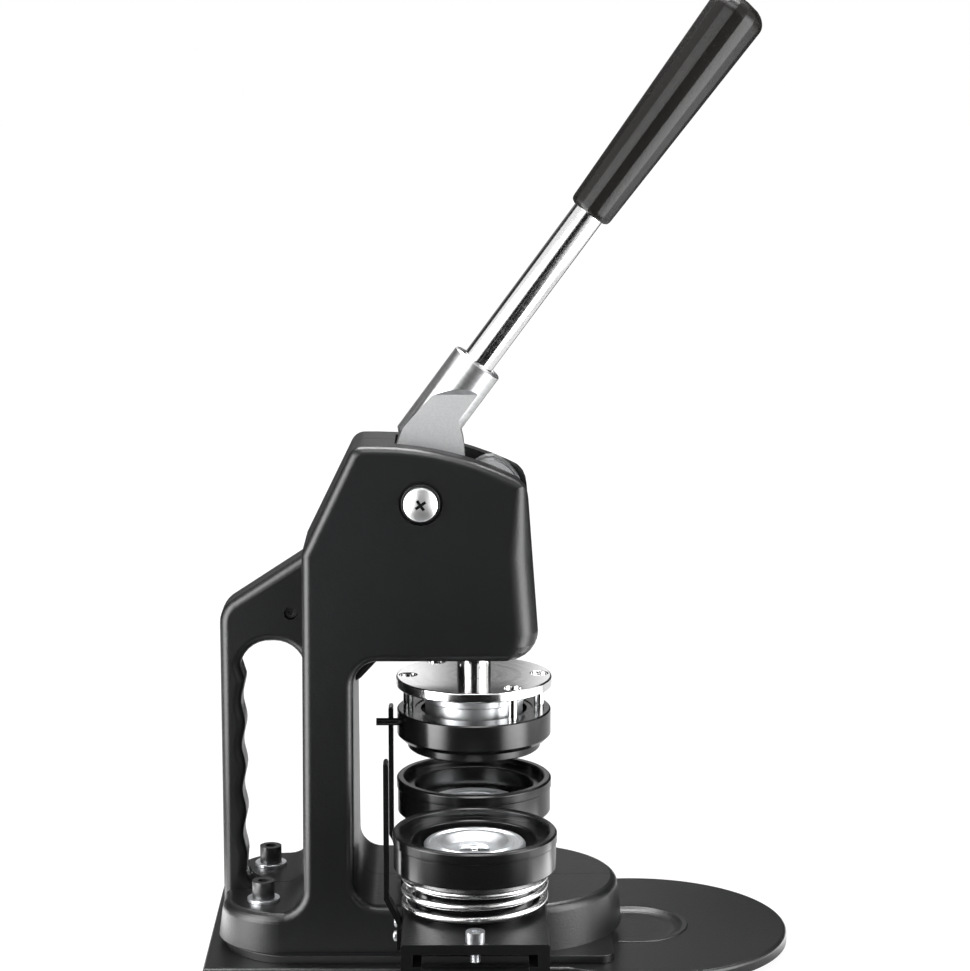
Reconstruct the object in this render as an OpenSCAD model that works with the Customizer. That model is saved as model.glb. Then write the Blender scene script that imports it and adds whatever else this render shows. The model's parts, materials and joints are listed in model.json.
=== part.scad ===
// Button badge press with a lever, a cam-driven ram and a two-station die slide.
// The origin is on the ram's axis at table level. +X points out of the open throat,
// away from the carrying handle, +Y runs along the slide's travel and +Z is up.

/* [Base] */
// Height of the rubber feet
foot_height = 4; // [3:0.5:8]
// Diameter of each rubber foot
foot_d = 24; // [16:1:30]
// Thickness of the flat base plate
plate_thick = 6; // [4:0.5:10]
// Distance from the ram's axis to the plate's rear edge
plate_rear = 131.5; // [128:0.5:140]
// Half of the plate's width across its rectangular part
plate_half = 65; // [60:0.5:75]
// Distance from the ram's axis to the centre of the work disc
disc_x = 82.5; // [70:0.5:99]
// Radius of the work disc
disc_r = 75; // [66:0.5:85]
// Rounding of the plate's upper edge
plate_round = 2.2; // [1:0.1:3]
// Radius of the parts dish in the work disc
dish_r = 24; // [18:0.5:30]
// Depth of the parts dish
dish_depth = 1.6; // [1:0.1:2.5]
// Height of the tray under the casting
tray_height = 4; // [3:0.5:8]

/* [Casting] */
// Height of the casting's pedestal above the tray
pedestal_height = 22.5; // [18:0.5:30]
// Half of the pedestal's width at its top
pedestal_half = 51.5; // [45:0.5:56]
// Distance from the ram's axis to the pedestal's rear end
pedestal_rear = 126.5; // [120:0.5:127]
// Distance from the ram's axis to the pedestal's round front end
pedestal_front = 72.4; // [62:0.2:80]
// Height from the lower dies' rim to the head's underside
throat_height = 66.7; // [64:0.1:85]
// Distance from the ram's axis to the throat's wall
throat_depth = 58.5; // [54:0.5:64]
// Depth of the column from the throat's wall to its rear face
column_depth = 24.8; // [20:0.2:30]
// Height of the head
head_height = 103.8; // [100:0.2:112]
// Distance from the ram's axis to the head's front
head_front = 31.2; // [28:0.2:36]
// Half thickness of the head at its top
head_half = 26; // [24:0.5:32]
// Rounding of the casting's outer edges
casting_round = 4.5; // [3:0.5:6]
// Gap along the seam between the two castings
seam_gap = 0.3; // [0.1:0.1:0.6]
// Width of the slot in the head for the cam and the lever
slot_w = 28; // [26.8:0.2:32]

/* [Handle] */
// Distance from the ram's axis to the handle's outer face
handle_rear = 125; // [120:0.5:126]
// Half thickness of the carrying handle
handle_half = 11.5; // [9:0.5:16]
// Depth of the handle's grip bar, from its outer face to its finger grooves
handle_bar = 11; // [9:0.5:14]
// Number of finger grooves in the handle
groove_count = 4; // [3:1:5]
// Length of one finger groove
groove_pitch = 22.6; // [18:0.2:23]
// Depth of the finger grooves
groove_depth = 1.8; // [1:0.1:2.5]

/* [Lever] */
// Distance from the ram's axis back to the lever's pivot, which is also the cam's base radius
cam_base = 25.7; // [24:0.1:27]
// Height from the cam's resting contact up to the pivot
cam_start = 14.4; // [12:0.1:16]
// Swing of the lever from rest to full press, in degrees
lever_swing = 65; // [50:1:65]
// Thickness of the cam and of the lever's milled cheeks
cheek_w = 19.5; // [16:0.5:22]
// Radius of the pivot shaft
pivot_r = 7; // [6:0.25:8]
// Rest angle of the lever above the horizontal, in degrees
lever_angle = 53.6; // [50:0.2:58]
// Distance from the pivot to the lever's own axis
lever_offset = 16; // [14:0.5:18]
// Diameter of the socket that holds the rod
socket_d = 26; // [24:0.5:26.5]
// Diameter of the polished rod
rod_d = 16; // [12:0.5:18]
// Length of bare rod between the socket and the grip
rod_bare = 89.8; // [70:0.5:120]
// Length of the grip
grip_length = 126; // [100:1:140]
// Diameter of the grip at its lower end
grip_d1 = 22; // [20:0.5:26]
// Diameter of the grip at its upper end
grip_d2 = 29.4; // [26:0.5:34]

/* [Ram and upper die] */
// Diameter of the ram
ram_d = 17; // [14:0.5:18]
// Diameter of the round carrier plate
carrier_d = 77.2; // [74:0.2:80]
// Thickness of the carrier plate
carrier_thick = 5; // [4:0.5:6]
// Gap between the head's underside and the carrier plate at rest
carrier_gap = 15.1; // [12:0.1:18]
// Gap between the carrier plate and the hanging upper ring at rest
hang_gap = 11.4; // [10.5:0.1:12]
// Diameter of the upper ring
upper_ring_d = 76.4; // [74:0.2:78]
// Height of the upper ring without its lip
upper_ring_h = 15.1; // [13:0.1:16]
// Height of the upper ring's lower lip
upper_lip_h = 4.6; // [4:0.1:5.5]
// Radius of the circle of guide screws
guide_circle = 32.6; // [31.8:0.1:33.4]
// Radius of the guide screws' shoulders
guide_r = 2.5; // [2:0.1:2.6]

/* [Slide and lower dies] */
// Distance between the two die stations
station_pitch = 92.6; // [90:0.2:111]
// Width of the slide
slide_w = 67.6; // [64:0.2:81]
// Height of the slide
slide_h = 14; // [12:0.5:16]
// Thickness of the slide's top web
slide_web = 4.7; // [4:0.1:6]
// Width of the cavity inside the slide
cavity_w = 57; // [54:0.2:60]
// Width of the slide's open neck
neck_w = 49; // [44:0.2:51]
// Height of the slide's inturned lips
lip_h = 3.4; // [3:0.1:5]
// Length of the fixed rail
rail_length = 96.4; // [90:0.2:100]
// Diameter of the badge size that the dies are made for
die_bore = 58.4; // [48.7:0.1:60]
// Outer diameter of the lower rings
lower_ring_d = 76.2; // [74:0.2:78]
// Height of the lower rings
lower_ring_h = 20; // [18:0.5:22]
// Free height of the spring under each lower ring
die_spring_h = 17; // [16:0.5:20]
// Wire diameter of the die springs
die_wire = 3.2; // [2.5:0.1:3.5]
// Thickness of the flat bar of the shift arms
arm_t = 2.4; // [2:0.1:3]

/* [Hidden] */
$fn = 96;

eps = 0.02;
fit = 0.05;          // radial clearance of a running fit
flat_fit = 0.2;      // clearance between flat sliding faces
rest_gap = 0.3;      // clearance between faces that only touch under load

plate_top = foot_height + plate_thick;
tray_top = plate_top + tray_height;
pedestal_top = tray_top + pedestal_height;
window_floor = pedestal_top - 4;
slide_bottom = pedestal_top + 0.5;
slide_top = slide_bottom + slide_h;
ring_bottom = slide_top + die_spring_h;
die_rim = ring_bottom + lower_ring_h;
head_bottom = die_rim + throat_height;
head_top = head_bottom + head_height;

// The pivot sits above the cam's contact point, straight above the cam's base circle.
pivot_x = -cam_base;
pivot_z = head_top - 27;
travel = cam_base * lever_swing * PI / 180;
cap_top = pivot_z - cam_start - rest_gap;
cap_thick = 4;
cap_r = 12.4;

column_front = -throat_depth;
column_rear = column_front - column_depth;
handle_inner = -handle_rear + handle_bar;
nose_top = head_top - 49.5;
nose_wall = 8.7;     // wall in front of the slot, below the cam's nose
slot_floor = head_bottom + 13.3;
flange_t = 2.5;

// Half thickness of the casting at a height: its faces lean in from the pedestal to the head.
lean = (pedestal_half - head_half) / (head_top - pedestal_top);
function half_at(z) = pedestal_half - lean * (z - pedestal_top);

carrier_top = head_bottom - carrier_gap;
carrier_bottom = carrier_top - carrier_thick;
upper_ring_top = carrier_bottom - hang_gap;
upper_ring_bottom = upper_ring_top - upper_ring_h;
lip_bottom = upper_ring_bottom - upper_lip_h;
hub_disc_r = die_bore / 2 - 3.45;
hub_disc_h = 6.6;
punch_r = hub_disc_r - 1.5;
punch_bottom = upper_ring_top - 9.5;
guide_angles = [180, 5, -55, 125];
head_pocket = 3;     // depth of the pockets that the guide screws' heads hang in
pin_z = upper_ring_top - 4;
pin_r = 1.85;
pin_angle = 200;     // where the selector pin leaves the upper ring at rest
selector_swing = 6.6;
sleeve_r = die_bore / 2 - fit;
sleeve_in = sleeve_r - 2.75;

stations = [-station_pitch, 0];
cup_flange_t = 2.7;
ring_lip_t = 2;
cup_top = ring_bottom + ring_lip_t + rest_gap + cup_flange_t;
cup_pocket = 6;
cup_r = die_bore / 2 - 1.3;
cup_wall = 4;
insert_r = cup_r - cup_wall;
lip_r = lower_ring_d / 2 - 5.1;     // outside of the upper ring's lip, which dips into a lower ring
spring_r = lower_ring_d / 2 - 5.1;  // middle of the die springs' wire
insert_front_top = die_rim - 5.5;
insert_rear_top = die_rim - 13.4;
cavity_top = slide_top - slide_web;
lips_top = slide_bottom + lip_h;
rail_neck_top = lips_top + flat_fit;
rail_top = cavity_top - flat_fit;
stop_r = 2.5;
stop_rear_y = rail_length / 2 + stop_r + flat_fit;
stop_front_y = -rail_length / 2 - stop_r - flat_fit - station_pitch;
slide_y = [stop_front_y - 4.5, stop_rear_y + 4.5];
arm_x = -slide_w / 2 - 7.3;
arm_top = upper_ring_top + 2.6;
arm_screw_y = [-20.9, -1.4];
rear_arm_y = -6.8;   // middle of the rear shift arm's bar, from its own station
front_arm_y = arm_screw_y[0] + arm_screw_y[1] - rear_arm_y;

bolt_x = (handle_inner + column_rear) / 2 - 5.3;
bolt_y = 28.5;
washer_t = 1.6;

// ---------------------------------------------------------------- helpers

// An arc as a list of points, from angle a0 to angle a1.
function arc(c, r, a0, a1, n = 6) =
    [for (i = [0:n]) let (a = a0 + (a1 - a0) * i / n) [c[0] + r * cos(a), c[1] + r * sin(a)]];

// Extrudes an outline drawn in X and Z along Y, from y0 to y1.
module along_y(y0, y1) {
    translate([0, y1, 0]) rotate([90, 0, 0]) linear_extrude(y1 - y0) children();
}

// Extrudes an outline drawn in Y and Z along X, from x0 to x1.
module along_x(x0, x1) {
    translate([x0, 0, 0]) rotate([90, 0, 90]) linear_extrude(x1 - x0) children();
}

// A round bar along Y, centred on the seam.
module cross_bar(x, z, r, half) {
    translate([x, half, z]) rotate([90, 0, 0]) cylinder(r = r, h = 2 * half);
}

// A rectangle with its own corner radius at each end.
module rounded_plan(x0, x1, half, r0, r1) {
    translate([x0 + r0, -half]) square([x1 - r1 - x0 - r0, 2 * half]);
    translate([x0, -half + r0]) square([r0 + 1, 2 * (half - r0)]);
    translate([x1 - r1 - 1, -half + r1]) square([r1 + 1, 2 * (half - r1)]);
    for (s = [-1, 1]) {
        translate([x0 + r0, s * (half - r0)]) circle(r0);
        translate([x1 - r1, s * (half - r1)]) circle(r1);
    }
}

// A coil spring on the Z axis, as one swept tube with flat-lying end turns.
module coil(z0, z1, r, wire, turns, steps = 20, sides = 8) {
    n = turns * steps;
    function height(t) = z0 + wire / 2 + (z1 - z0 - wire) * t;
    function wire_at(i) = let (a = 360 * turns * i / n) [r * cos(a), r * sin(a), height(i / n)];
    points = [for (i = [0:n]) let (a = 360 * turns * i / n, c = wire_at(i))
        for (j = [0:sides - 1]) let (b = 360 * j / sides, q = wire / 2)
            [c[0] + q * cos(b) * cos(a), c[1] + q * cos(b) * sin(a), c[2] + q * sin(b)]];
    walls = [for (i = [0:n - 1]) for (j = [0:sides - 1]) let (k = (j + 1) % sides)
        [i * sides + j, i * sides + k, (i + 1) * sides + k, (i + 1) * sides + j]];
    start = [for (j = [sides - 1:-1:0]) j];
    end = [for (j = [0:sides - 1]) n * sides + j];
    polyhedron(points = points, faces = concat(walls, [start, end]), convexity = 10);
}

// A cap screw along +Z with its seat at z = 0.
module cap_screw(head_r, head_h, shank_r, shank_l, key_r) {
    difference() {
        union() {
            cylinder(r = head_r, h = head_h - 0.5);
            translate([0, 0, head_h - 0.5]) cylinder(r1 = head_r, r2 = head_r - 0.5, h = 0.5);
        }
        translate([0, 0, head_h * 0.4]) cylinder(r = key_r, h = head_h, $fn = 6);
    }
    translate([0, 0, -shank_l]) cylinder(r = shank_r, h = shank_l + eps);
}

// A countersunk screw along +Z with its flat head's top at z = 0.
module sunk_screw(head_r, shank_r, length, key_r) {
    difference() {
        union() {
            translate([0, 0, shank_r - head_r]) cylinder(r1 = shank_r, r2 = head_r, h = head_r - shank_r);
            translate([0, 0, -length]) cylinder(r = shank_r, h = length - (head_r - shank_r) + eps);
        }
        translate([0, 0, -key_r]) cylinder(r = key_r, h = key_r + 1, $fn = 6);
    }
}

// The hole that a countersunk screw fills, with its mouth at z = 0.
module sunk_hole(head_r, shank_r, length) {
    translate([0, 0, shank_r - head_r]) cylinder(r1 = shank_r, r2 = head_r, h = head_r - shank_r);
    translate([0, 0, -eps]) cylinder(r = head_r, h = 1);
    translate([0, 0, -length]) cylinder(r = shank_r, h = length);
}

// ---------------------------------------------------------------- base

foot_places = [[0, 0], [-plate_rear + 19, plate_half - 17], [-plate_rear + 19, -plate_half + 17],
               [disc_x + 42, 38], [disc_x + 42, -38]];
base_screw_places = [[column_rear + 14, 36], [column_rear + 14, -36], [40, 22], [40, -22]];
base_screw_r = 2.5;
base_screw_head = 5;
base_screw_l = plate_thick + tray_height + 12;

module base_plate() {
    color("#222426") difference() {
        union() {
            intersection() {
                along_x(-plate_rear, disc_x) edge_outline(-plate_half, plate_half, true, true);
                along_y(-plate_half, plate_half) edge_outline(-plate_rear, disc_x, true, false);
            }
            translate([disc_x, 0, foot_height]) rotate_extrude() disc_outline();
            translate([disc_x - 3.5, 0, plate_top]) rotate([0, 0, -105]) rotate_extrude(angle = 210)
                translate([dish_r + 3, 0]) scale([2.4, 1]) circle(r = 0.8, $fn = 32);
        }
        translate([disc_x - 3.5, 0, plate_top]) dish();
        for (p = base_screw_places)
            translate([p[0], p[1], foot_height]) rotate([180, 0, 0])
                sunk_hole(base_screw_head, base_screw_r, base_screw_l);
        for (s = [-1, 1]) translate([bolt_x, s * bolt_y, foot_height - 1])
            cylinder(r = 3.3, h = plate_thick + 2);
    }
}

// Section of the plate with its upper edges rounded at either end.
module edge_outline(a, b, low, high) {
    r = plate_round;
    translate([a, foot_height]) square([b - a, plate_thick - r]);
    translate([a + (low ? r : 0), foot_height])
        square([b - a - (low ? r : 0) - (high ? r : 0), plate_thick]);
    if (low) translate([a + r, plate_top - r]) circle(r);
    if (high) translate([b - r, plate_top - r]) circle(r);
}

module disc_outline() {
    square([disc_r, plate_thick - plate_round]);
    square([disc_r - plate_round, plate_thick]);
    translate([disc_r - plate_round, plate_thick - plate_round]) circle(plate_round);
}

// A shallow bowl: a slice of a large ball.
module dish() {
    ball = (dish_r * dish_r + dish_depth * dish_depth) / (2 * dish_depth);
    translate([0, 0, ball - dish_depth]) sphere(r = ball, $fn = 200);
}

module rubber_feet() {
    color("#141414") for (p = foot_places) translate([p[0], p[1], 0]) {
        cylinder(r1 = foot_d / 2 - 1, r2 = foot_d / 2, h = 1);
        translate([0, 0, 1]) cylinder(r = foot_d / 2, h = foot_height - 1);
    }
}

module base_tray() {
    color("#1c1d1f") difference() {
        translate([0, 0, plate_top]) linear_extrude(tray_height)
            rounded_plan(-pedestal_rear + 3.5, pedestal_front - 4.4, half_at(tray_top) + 4.9, 18, 7);
        for (p = base_screw_places) translate([p[0], p[1], plate_top - 1])
            cylinder(r = base_screw_r, h = tray_height + 2);
        for (s = [-1, 1]) translate([bolt_x, s * bolt_y, plate_top - 1])
            cylinder(r = 3.3, h = tray_height + 2);
    }
}

module base_bolts() {
    color("#2a2b2d") for (s = [-1, 1]) translate([bolt_x, s * bolt_y, window_floor + washer_t])
        cap_screw(5.5, 8.6, 3.3, window_floor + washer_t - foot_height - 1, 3);
}

module base_washers() {
    color("silver") for (s = [-1, 1]) translate([bolt_x, s * bolt_y, window_floor]) difference() {
        cylinder(r = 8, h = washer_t);
        translate([0, 0, -1]) cylinder(r = 3.3, h = washer_t + 2);
    }
}

module base_screws() {
    color("dimgray") for (p = base_screw_places) translate([p[0], p[1], foot_height])
        rotate([180, 0, 0]) sunk_screw(base_screw_head, base_screw_r, base_screw_l, 2);
}

// ---------------------------------------------------------------- casting

throat_r = 11.5;       // rounding of the throat's inner corners
crown_r = 151;         // sweep of the head's top towards its front
crown_c = [-47.3, head_top - crown_r];
brow_r = 5;            // rounding at the front end of the crown
nape_r = 7;            // rounding at the head's upper rear corner
nose_r = 13;
low_z = tray_top - 8;  // the castings are drawn to here and cut off level at the tray
rear_x = -pedestal_rear + lean * (window_floor - tray_top);

// Side view of the pedestal, the column and the head, drawn clockwise. The floor inside the
// handle's window lies a little lower than the pedestal's top.
side_outline = let (foot_r = 12, r = casting_round, brow_a = 61, nape_a = 154,
        brow_c = crown_c + (crown_r - brow_r) * [cos(brow_a), sin(brow_a)]) concat(
    [[-pedestal_rear - lean * 8, low_z]],
    arc([rear_x + r, window_floor - r], r, 180, 90, 4),
    arc([column_rear - foot_r, window_floor + foot_r], foot_r, 270, 360, 7),
    [[column_rear, head_bottom + 52]],
    arc([column_rear + 29.4, head_top - nape_r], nape_r, nape_a, 90, 5),
    arc(crown_c, crown_r, 90, brow_a, 8),
    arc(brow_c, brow_r, brow_a - 12, 4, 5),
    arc([head_front - nose_r, head_bottom + nose_r], nose_r, 4, -90, 9),
    arc([column_front + throat_r, head_bottom - throat_r], throat_r, 90, 180, 8),
    arc([column_front + throat_r, pedestal_top + throat_r], throat_r, 180, 270, 8),
    [[pedestal_front + 12, pedestal_top], [pedestal_front + 12, low_z]]);

window_r = 13;
window_top = die_rim + 69;

// Side view of the carrying handle without its window, drawn clockwise.
handle_outline = let (x = -handle_rear, low = tray_top + 3) concat(
    [[column_rear + 6, low], [x, low]],
    arc([x + 14, die_rim + 80], 14, 180, 128, 5),
    [[column_rear + 6, head_bottom + 52]]);

// The window, drawn counterclockwise: round above, with finger grooves along the bar. It runs on
// into the column and the pedestal, which bound it.
window_outline = let (high = window_top - window_r, first = high - 4.5, wide_r = window_r + 2) concat(
    [[column_rear + 12, high + wide_r * sin(8)]],
    arc([column_rear - wide_r, high], wide_r, 8, 90, 7),
    arc([handle_inner + window_r + 0.5, high], wide_r, 98, 170, 6),
    [for (i = [0:groove_count * 10]) let (t = i / 10)
        [handle_inner + groove_depth / 2 * cos(360 * t), first - t * groove_pitch]],
    arc([handle_inner + 10, window_floor + 10], 10, 190, 262, 4),
    [[handle_inner + 9, window_floor - 4], [column_rear + 12, window_floor - 4]]);

// Moves every point of an outline to its right: a clockwise outline shrinks, the other grows.
function shift_right(p, d) = let (n = len(p)) [for (i = [0:n - 1])
    let (before = p[i] - p[(i + n - 1) % n], after = p[(i + 1) % n] - p[i],
         a = [before[1], -before[0]] / norm(before), b = [after[1], -after[0]] / norm(after))
    p[i] + d / (1 + a * b) * (a + b)];

// A closed skin over rings of equally many points.
module skin(rings) {
    n = len(rings[0]);
    last = len(rings) - 1;
    walls = [for (k = [0:last - 1]) for (i = [0:n - 1]) let (j = (i + 1) % n)
        [k * n + i, k * n + j, (k + 1) * n + j, (k + 1) * n + i]];
    polyhedron(points = [for (ring = rings) each ring], convexity = 8,
        faces = concat(walls, [[for (i = [n - 1:-1:0]) i]], [[for (i = [0:n - 1]) last * n + i]]));
}

edge_steps = 6;      // facets across a rounded edge of the castings

// Half of a casting's body: a clockwise outline in X and Z, from the seam to its near face.
// The near edges are rounded, and face(z) is the half thickness at a height.
module rounded_half(outline, r, face) {
    skin(concat([[for (q = outline) [q[0], -seam_gap / 2, q[1]]]],
        [for (k = [0:edge_steps]) let (a = 90 * k / edge_steps)
            [for (q = shift_right(outline, r * (1 - cos(a)))) [q[0], r * (1 - sin(a)) - face(q[1]), q[1]]]]));
}

// The handle's window as a cutter, flared like a rounded edge where it leaves the near face.
module window_cut(r) {
    last = 90 * (edge_steps - 1) / edge_steps;
    angles = [for (k = [0:edge_steps]) 90 * k / edge_steps];
    flare = concat([[0, 1]], [for (a = angles) [r * (1 - cos(a)), r * (1 - sin(a)) - handle_half]],
        [[r * (1 + cos(last) / 2), r * (sin(last) - 1) / 2 - handle_half]]);
    skin([for (i = [len(flare) - 1:-1:0])
        [for (q = shift_right(window_outline, flare[i][0])) [q[0], flare[i][1], q[1]]]]);
}

// A post that leans in like the casting and has a rounded top edge.
module post(r0, top) {
    r = casting_round;
    wide = r0 - lean * (top - r - tray_top);
    base = low_z - 2;
    hull() {
        slice(base, r0 + lean * (tray_top - base));
        for (k = [0:edge_steps - 1]) let (a = 90 * k / edge_steps)
            slice(top - r * (1 - sin(a)), wide - r * (1 - cos(a)));
        slice(top + 0.2, wide - r * 1.1);
    }
}

// A thin round slice.
module slice(z, r) {
    translate([0, 0, z]) cylinder(r = r, h = 0.1, $fn = 64);
}

cut_in = 0.5;        // how far the posts' sides stand clear of the flat faces they round off
round_x = pedestal_front - half_at((tray_top + pedestal_top) / 2);
corner_r = 18;

// What is cut off the pedestal to give it a round front end and round rear corners.
module pedestal_trim() {
    base = low_z - 1;
    difference() {
        translate([round_x, -100, base]) cube([80, 105, pedestal_top + 6 - base]);
        translate([round_x, 0, 0]) post(half_at(tray_top) + cut_in, pedestal_top);
    }
    corner = [-pedestal_rear + corner_r, corner_r - half_at(tray_top)];
    difference() {
        translate([corner[0] - 40, corner[1] - 60, base]) cube([40, 60, window_floor + 6 - base]);
        translate([corner[0], corner[1], 0]) post(corner_r + cut_in, window_floor);
    }
}

// The slot for the cam and the lever: open above and above the nose, narrow at the spring.
module slot_space() {
    x0 = pivot_x - 23;
    along_y(-slot_w / 2, slot_w / 2) polygon([
        [pivot_x - 12.6, head_top + 10], [pivot_x - 12.6, head_top], [x0, pivot_z + 2.5],
        [x0, pivot_z - 27.5], [pivot_x - 5.5, pivot_z - 33],
        [-16, pivot_z - 49], [-16, slot_floor], [head_front - nose_wall, slot_floor],
        [head_front - nose_wall, nose_top], [head_front + 5, nose_top], [head_front + 5, head_top + 10]]);
}

bushing_r = 11;
pivot_bush_r = 9.3;
pivot_face = half_at(pivot_z);

// The near casting's body before its slot and bores are cut. resize() with zeros keeps its size
// and makes it one closed mesh.
module casting_body() {
    resize([0, 0, 0]) {
        difference() {
            rounded_half(side_outline, casting_round, function (z) half_at(z));
            pedestal_trim();
        }
        difference() {
            rounded_half(handle_outline, casting_round, function (z) handle_half);
            window_cut(casting_round);
        }
        rounded_half(web_outline, web_half / 2, function (z) web_half);
    }
}

// The web across the throat's upper corner, drawn clockwise.
web_half = 5;
web_outline = let (x = column_front, z = head_bottom) [
    [x - 4, z - 20], [x - 4, z + 4], [x + 24, z + 4], [x + 16, z - 1.5], [x + 2.5, z - 16]];

// One casting with its bores, its slot and its share of every seat.
module casting() {
    difference() {
        casting_body();
        translate([-200, -100, low_z - 5]) cube([400, 110, tray_top - low_z + 5]);
        slot_space();
        translate([0, 0, head_bottom - 1]) cylinder(r = bushing_r, h = 30);
        cross_bar(pivot_x, pivot_z, pivot_bush_r, 80);
        translate([pivot_x, -pivot_face + 2, pivot_z]) rotate([90, 0, 0]) cylinder(r = 10.6, h = 20);
        for (p = base_screw_places) translate([p[0], p[1], tray_top - 1])
            cylinder(r = base_screw_r, h = base_screw_l - plate_thick - tray_height + 2);
        translate([bolt_x, -bolt_y, tray_top - 1]) cylinder(r = 3.3, h = 60);
        translate([handle_screw_x, -handle_half + 5, handle_screw_z]) rotate([90, 0, 0])
            cylinder(r = 3.2, h = 20);
        cross_bar(handle_screw_x, handle_screw_z, handle_screw_r, handle_half);
        for (p = rail_screw_places) translate([p[0], p[1], pedestal_top - 11])
            cylinder(r = rail_screw_r, h = 20);
    }
}

handle_screw_x = column_rear - 6.7;
handle_screw_z = die_rim + 85.4;
handle_screw_r = 1.6;

module casting_near() {
    color("#1d1e20") casting();
}

module casting_far() {
    color("#232426") mirror([0, 1, 0]) casting();
}

module handle_screw() {
    color("dimgray") {
        cross_bar(handle_screw_x, handle_screw_z, handle_screw_r, handle_half - 5 + eps);
        for (s = [-1, 1]) translate([handle_screw_x, s * (handle_half - 5), handle_screw_z])
            rotate([-90 * s, 0, 0]) difference() {
                cylinder(r = 2.9, h = 2.4);
                translate([0, 0, 1]) cylinder(r = 1.3, h = 3, $fn = 6);
            }
    }
}

// ---------------------------------------------------------------- pivot and ram guide

collar_y = pivot_face + 1.4;
pivot_screw_r = 3;

module pivot_shaft() {
    color("silver") difference() {
        cross_bar(pivot_x, pivot_z, pivot_r, collar_y);
        for (s = [-1, 1]) translate([pivot_x, s * (collar_y - 6), pivot_z])
            rotate([-90 * s, 0, 0]) translate([0, 0, -5]) cylinder(r = pivot_screw_r, h = 20);
    }
}

module pivot_bushings() {
    inner_y = cheek_w / 2 + rest_gap;
    color("#18191a") for (s = [-1, 1]) translate([pivot_x, s * inner_y, pivot_z])
        rotate([-90 * s, 0, 0]) difference() {
            cylinder(r = pivot_bush_r, h = collar_y - inner_y);
            translate([0, 0, -1]) cylinder(r = pivot_r + fit, h = collar_y);
        }
}

module pivot_screws() {
    color("silver") for (s = [-1, 1]) translate([pivot_x, s * collar_y, pivot_z])
        rotate([-90 * s, 0, 0]) {
            difference() {
                rotate_extrude() pan_outline(8.2, 4.2);
                for (a = [45, 135]) rotate([0, 0, a]) translate([-2.9, -0.6, 2.2]) cube([5.8, 1.2, 4]);
            }
            translate([0, 0, -10.9]) cylinder(r = pivot_screw_r, h = 10.9 + eps);
        }
}

// Half section of a domed screw head of radius r and height h.
module pan_outline(r, h) {
    edge = h * 0.45;
    dome = (r * r + (h - edge) * (h - edge)) / (2 * (h - edge));
    square([r, edge]);
    intersection() {
        translate([0, h - dome]) circle(dome, $fn = 128);
        translate([0, edge - eps]) square([r, h]);
    }
}

module ram_bushing() {
    color("#9a7b3c") difference() {
        union() {
            translate([0, 0, head_bottom + 0.2]) cylinder(r = bushing_r, h = slot_floor - head_bottom - 0.2);
            translate([0, 0, slot_floor]) cylinder(r = slot_w / 2 - 0.3, h = flange_t);
        }
        translate([0, 0, head_bottom - 1]) cylinder(r = ram_d / 2 + fit, h = 40);
    }
}

module return_spring() {
    color("silver") coil(slot_floor + flange_t, cap_top - cap_thick, ram_d / 2 + 2.1, 2.2, 4.75, 16, 6);
}

// ---------------------------------------------------------------- lever

u = [cos(lever_angle), sin(lever_angle)];
n = [-sin(lever_angle), cos(lever_angle)];
socket_top = 68.8;
socket_length = 51;
shoulder_z = socket_top * sin(lever_angle) + lever_offset * cos(lever_angle) - 14.9;
rod_depth = 38;

// A point of the lever, from its pivot: s along its axis and q across it.
function on_lever(s, q) = [s * u[0] + q * n[0], s * u[1] + q * n[1]];

// The cam's working flank is an involute of the circle through the ram's axis,
// so the contact always lies on the ram's axis and the ram sinks evenly with the swing.
function flank(a) = let (s = cam_start + cam_base * a * PI / 180)
    [cam_base * cos(a) + s * sin(a), cam_base * sin(a) - s * cos(a)];

module cam_outline() {
    first = -cam_start / cam_base * 180 / PI;
    steps = 26;
    tip = flank(lever_swing);
    side = lever_swing - 90;
    tip_r = 11;
    tip_c = [tip[0] - tip_r * cos(side), tip[1] - tip_r * sin(side)];
    hub_r = norm([cam_base - cap_r, cam_start]) - rest_gap;
    polygon(concat(
        [[0, 0], hub_r * [cos(-46), sin(-46)]],
        [for (i = [0:steps]) flank(first + (lever_swing - first) * i / steps)],
        arc(tip_c, tip_r, side + 6, 96, 8),
        [[21.4, 20]]));
    circle(hub_r);
    polygon([[21.4, 19], [20.8, 26], on_lever(42, 8.5), on_lever(56, 8), on_lever(56, 24),
             on_lever(22, 27), on_lever(13, 24.5), [-21.5, 2], [0, -5]]);
}

// Moves what is drawn along +Z onto the lever's axis, starting at s from the pivot.
module on_axis(s) {
    p = on_lever(s, lever_offset);
    translate([pivot_x + p[0], 0, pivot_z + p[1]]) rotate([0, 90 - lever_angle, 0]) children();
}

module lever_hub() {
    color("silver") difference() {
        union() {
            translate([pivot_x, 0, pivot_z]) along_y(-cheek_w / 2, cheek_w / 2) cam_outline();
            difference() {
                on_axis(socket_top - socket_length) {
                    cylinder(r1 = socket_d / 2 - 2, r2 = socket_d / 2, h = 2);
                    translate([0, 0, 2]) cylinder(d = socket_d, h = socket_length - 2.8);
                    translate([0, 0, socket_length - 0.8])
                        cylinder(r1 = socket_d / 2, r2 = socket_d / 2 - 0.8, h = 0.8);
                }
                for (s = [-1, 1]) translate([pivot_x - 60, s > 0 ? cheek_w / 2 : -cheek_w / 2 - 20,
                    pivot_z + shoulder_z - 80]) cube([160, 20, 80]);
            }
        }
        cross_bar(pivot_x, pivot_z, pivot_r + fit, 20);
        on_axis(socket_top - rod_depth) cylinder(r = rod_d / 2 + fit, h = rod_depth + 10);
        on_axis(socket_top - 1.6) cylinder(r1 = rod_d / 2, r2 = rod_d / 2 + 2.4, h = 2);
        on_axis(socket_top - 10) rotate([-90, 0, 0]) cylinder(r = 2.5, h = socket_d);
    }
}

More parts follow.
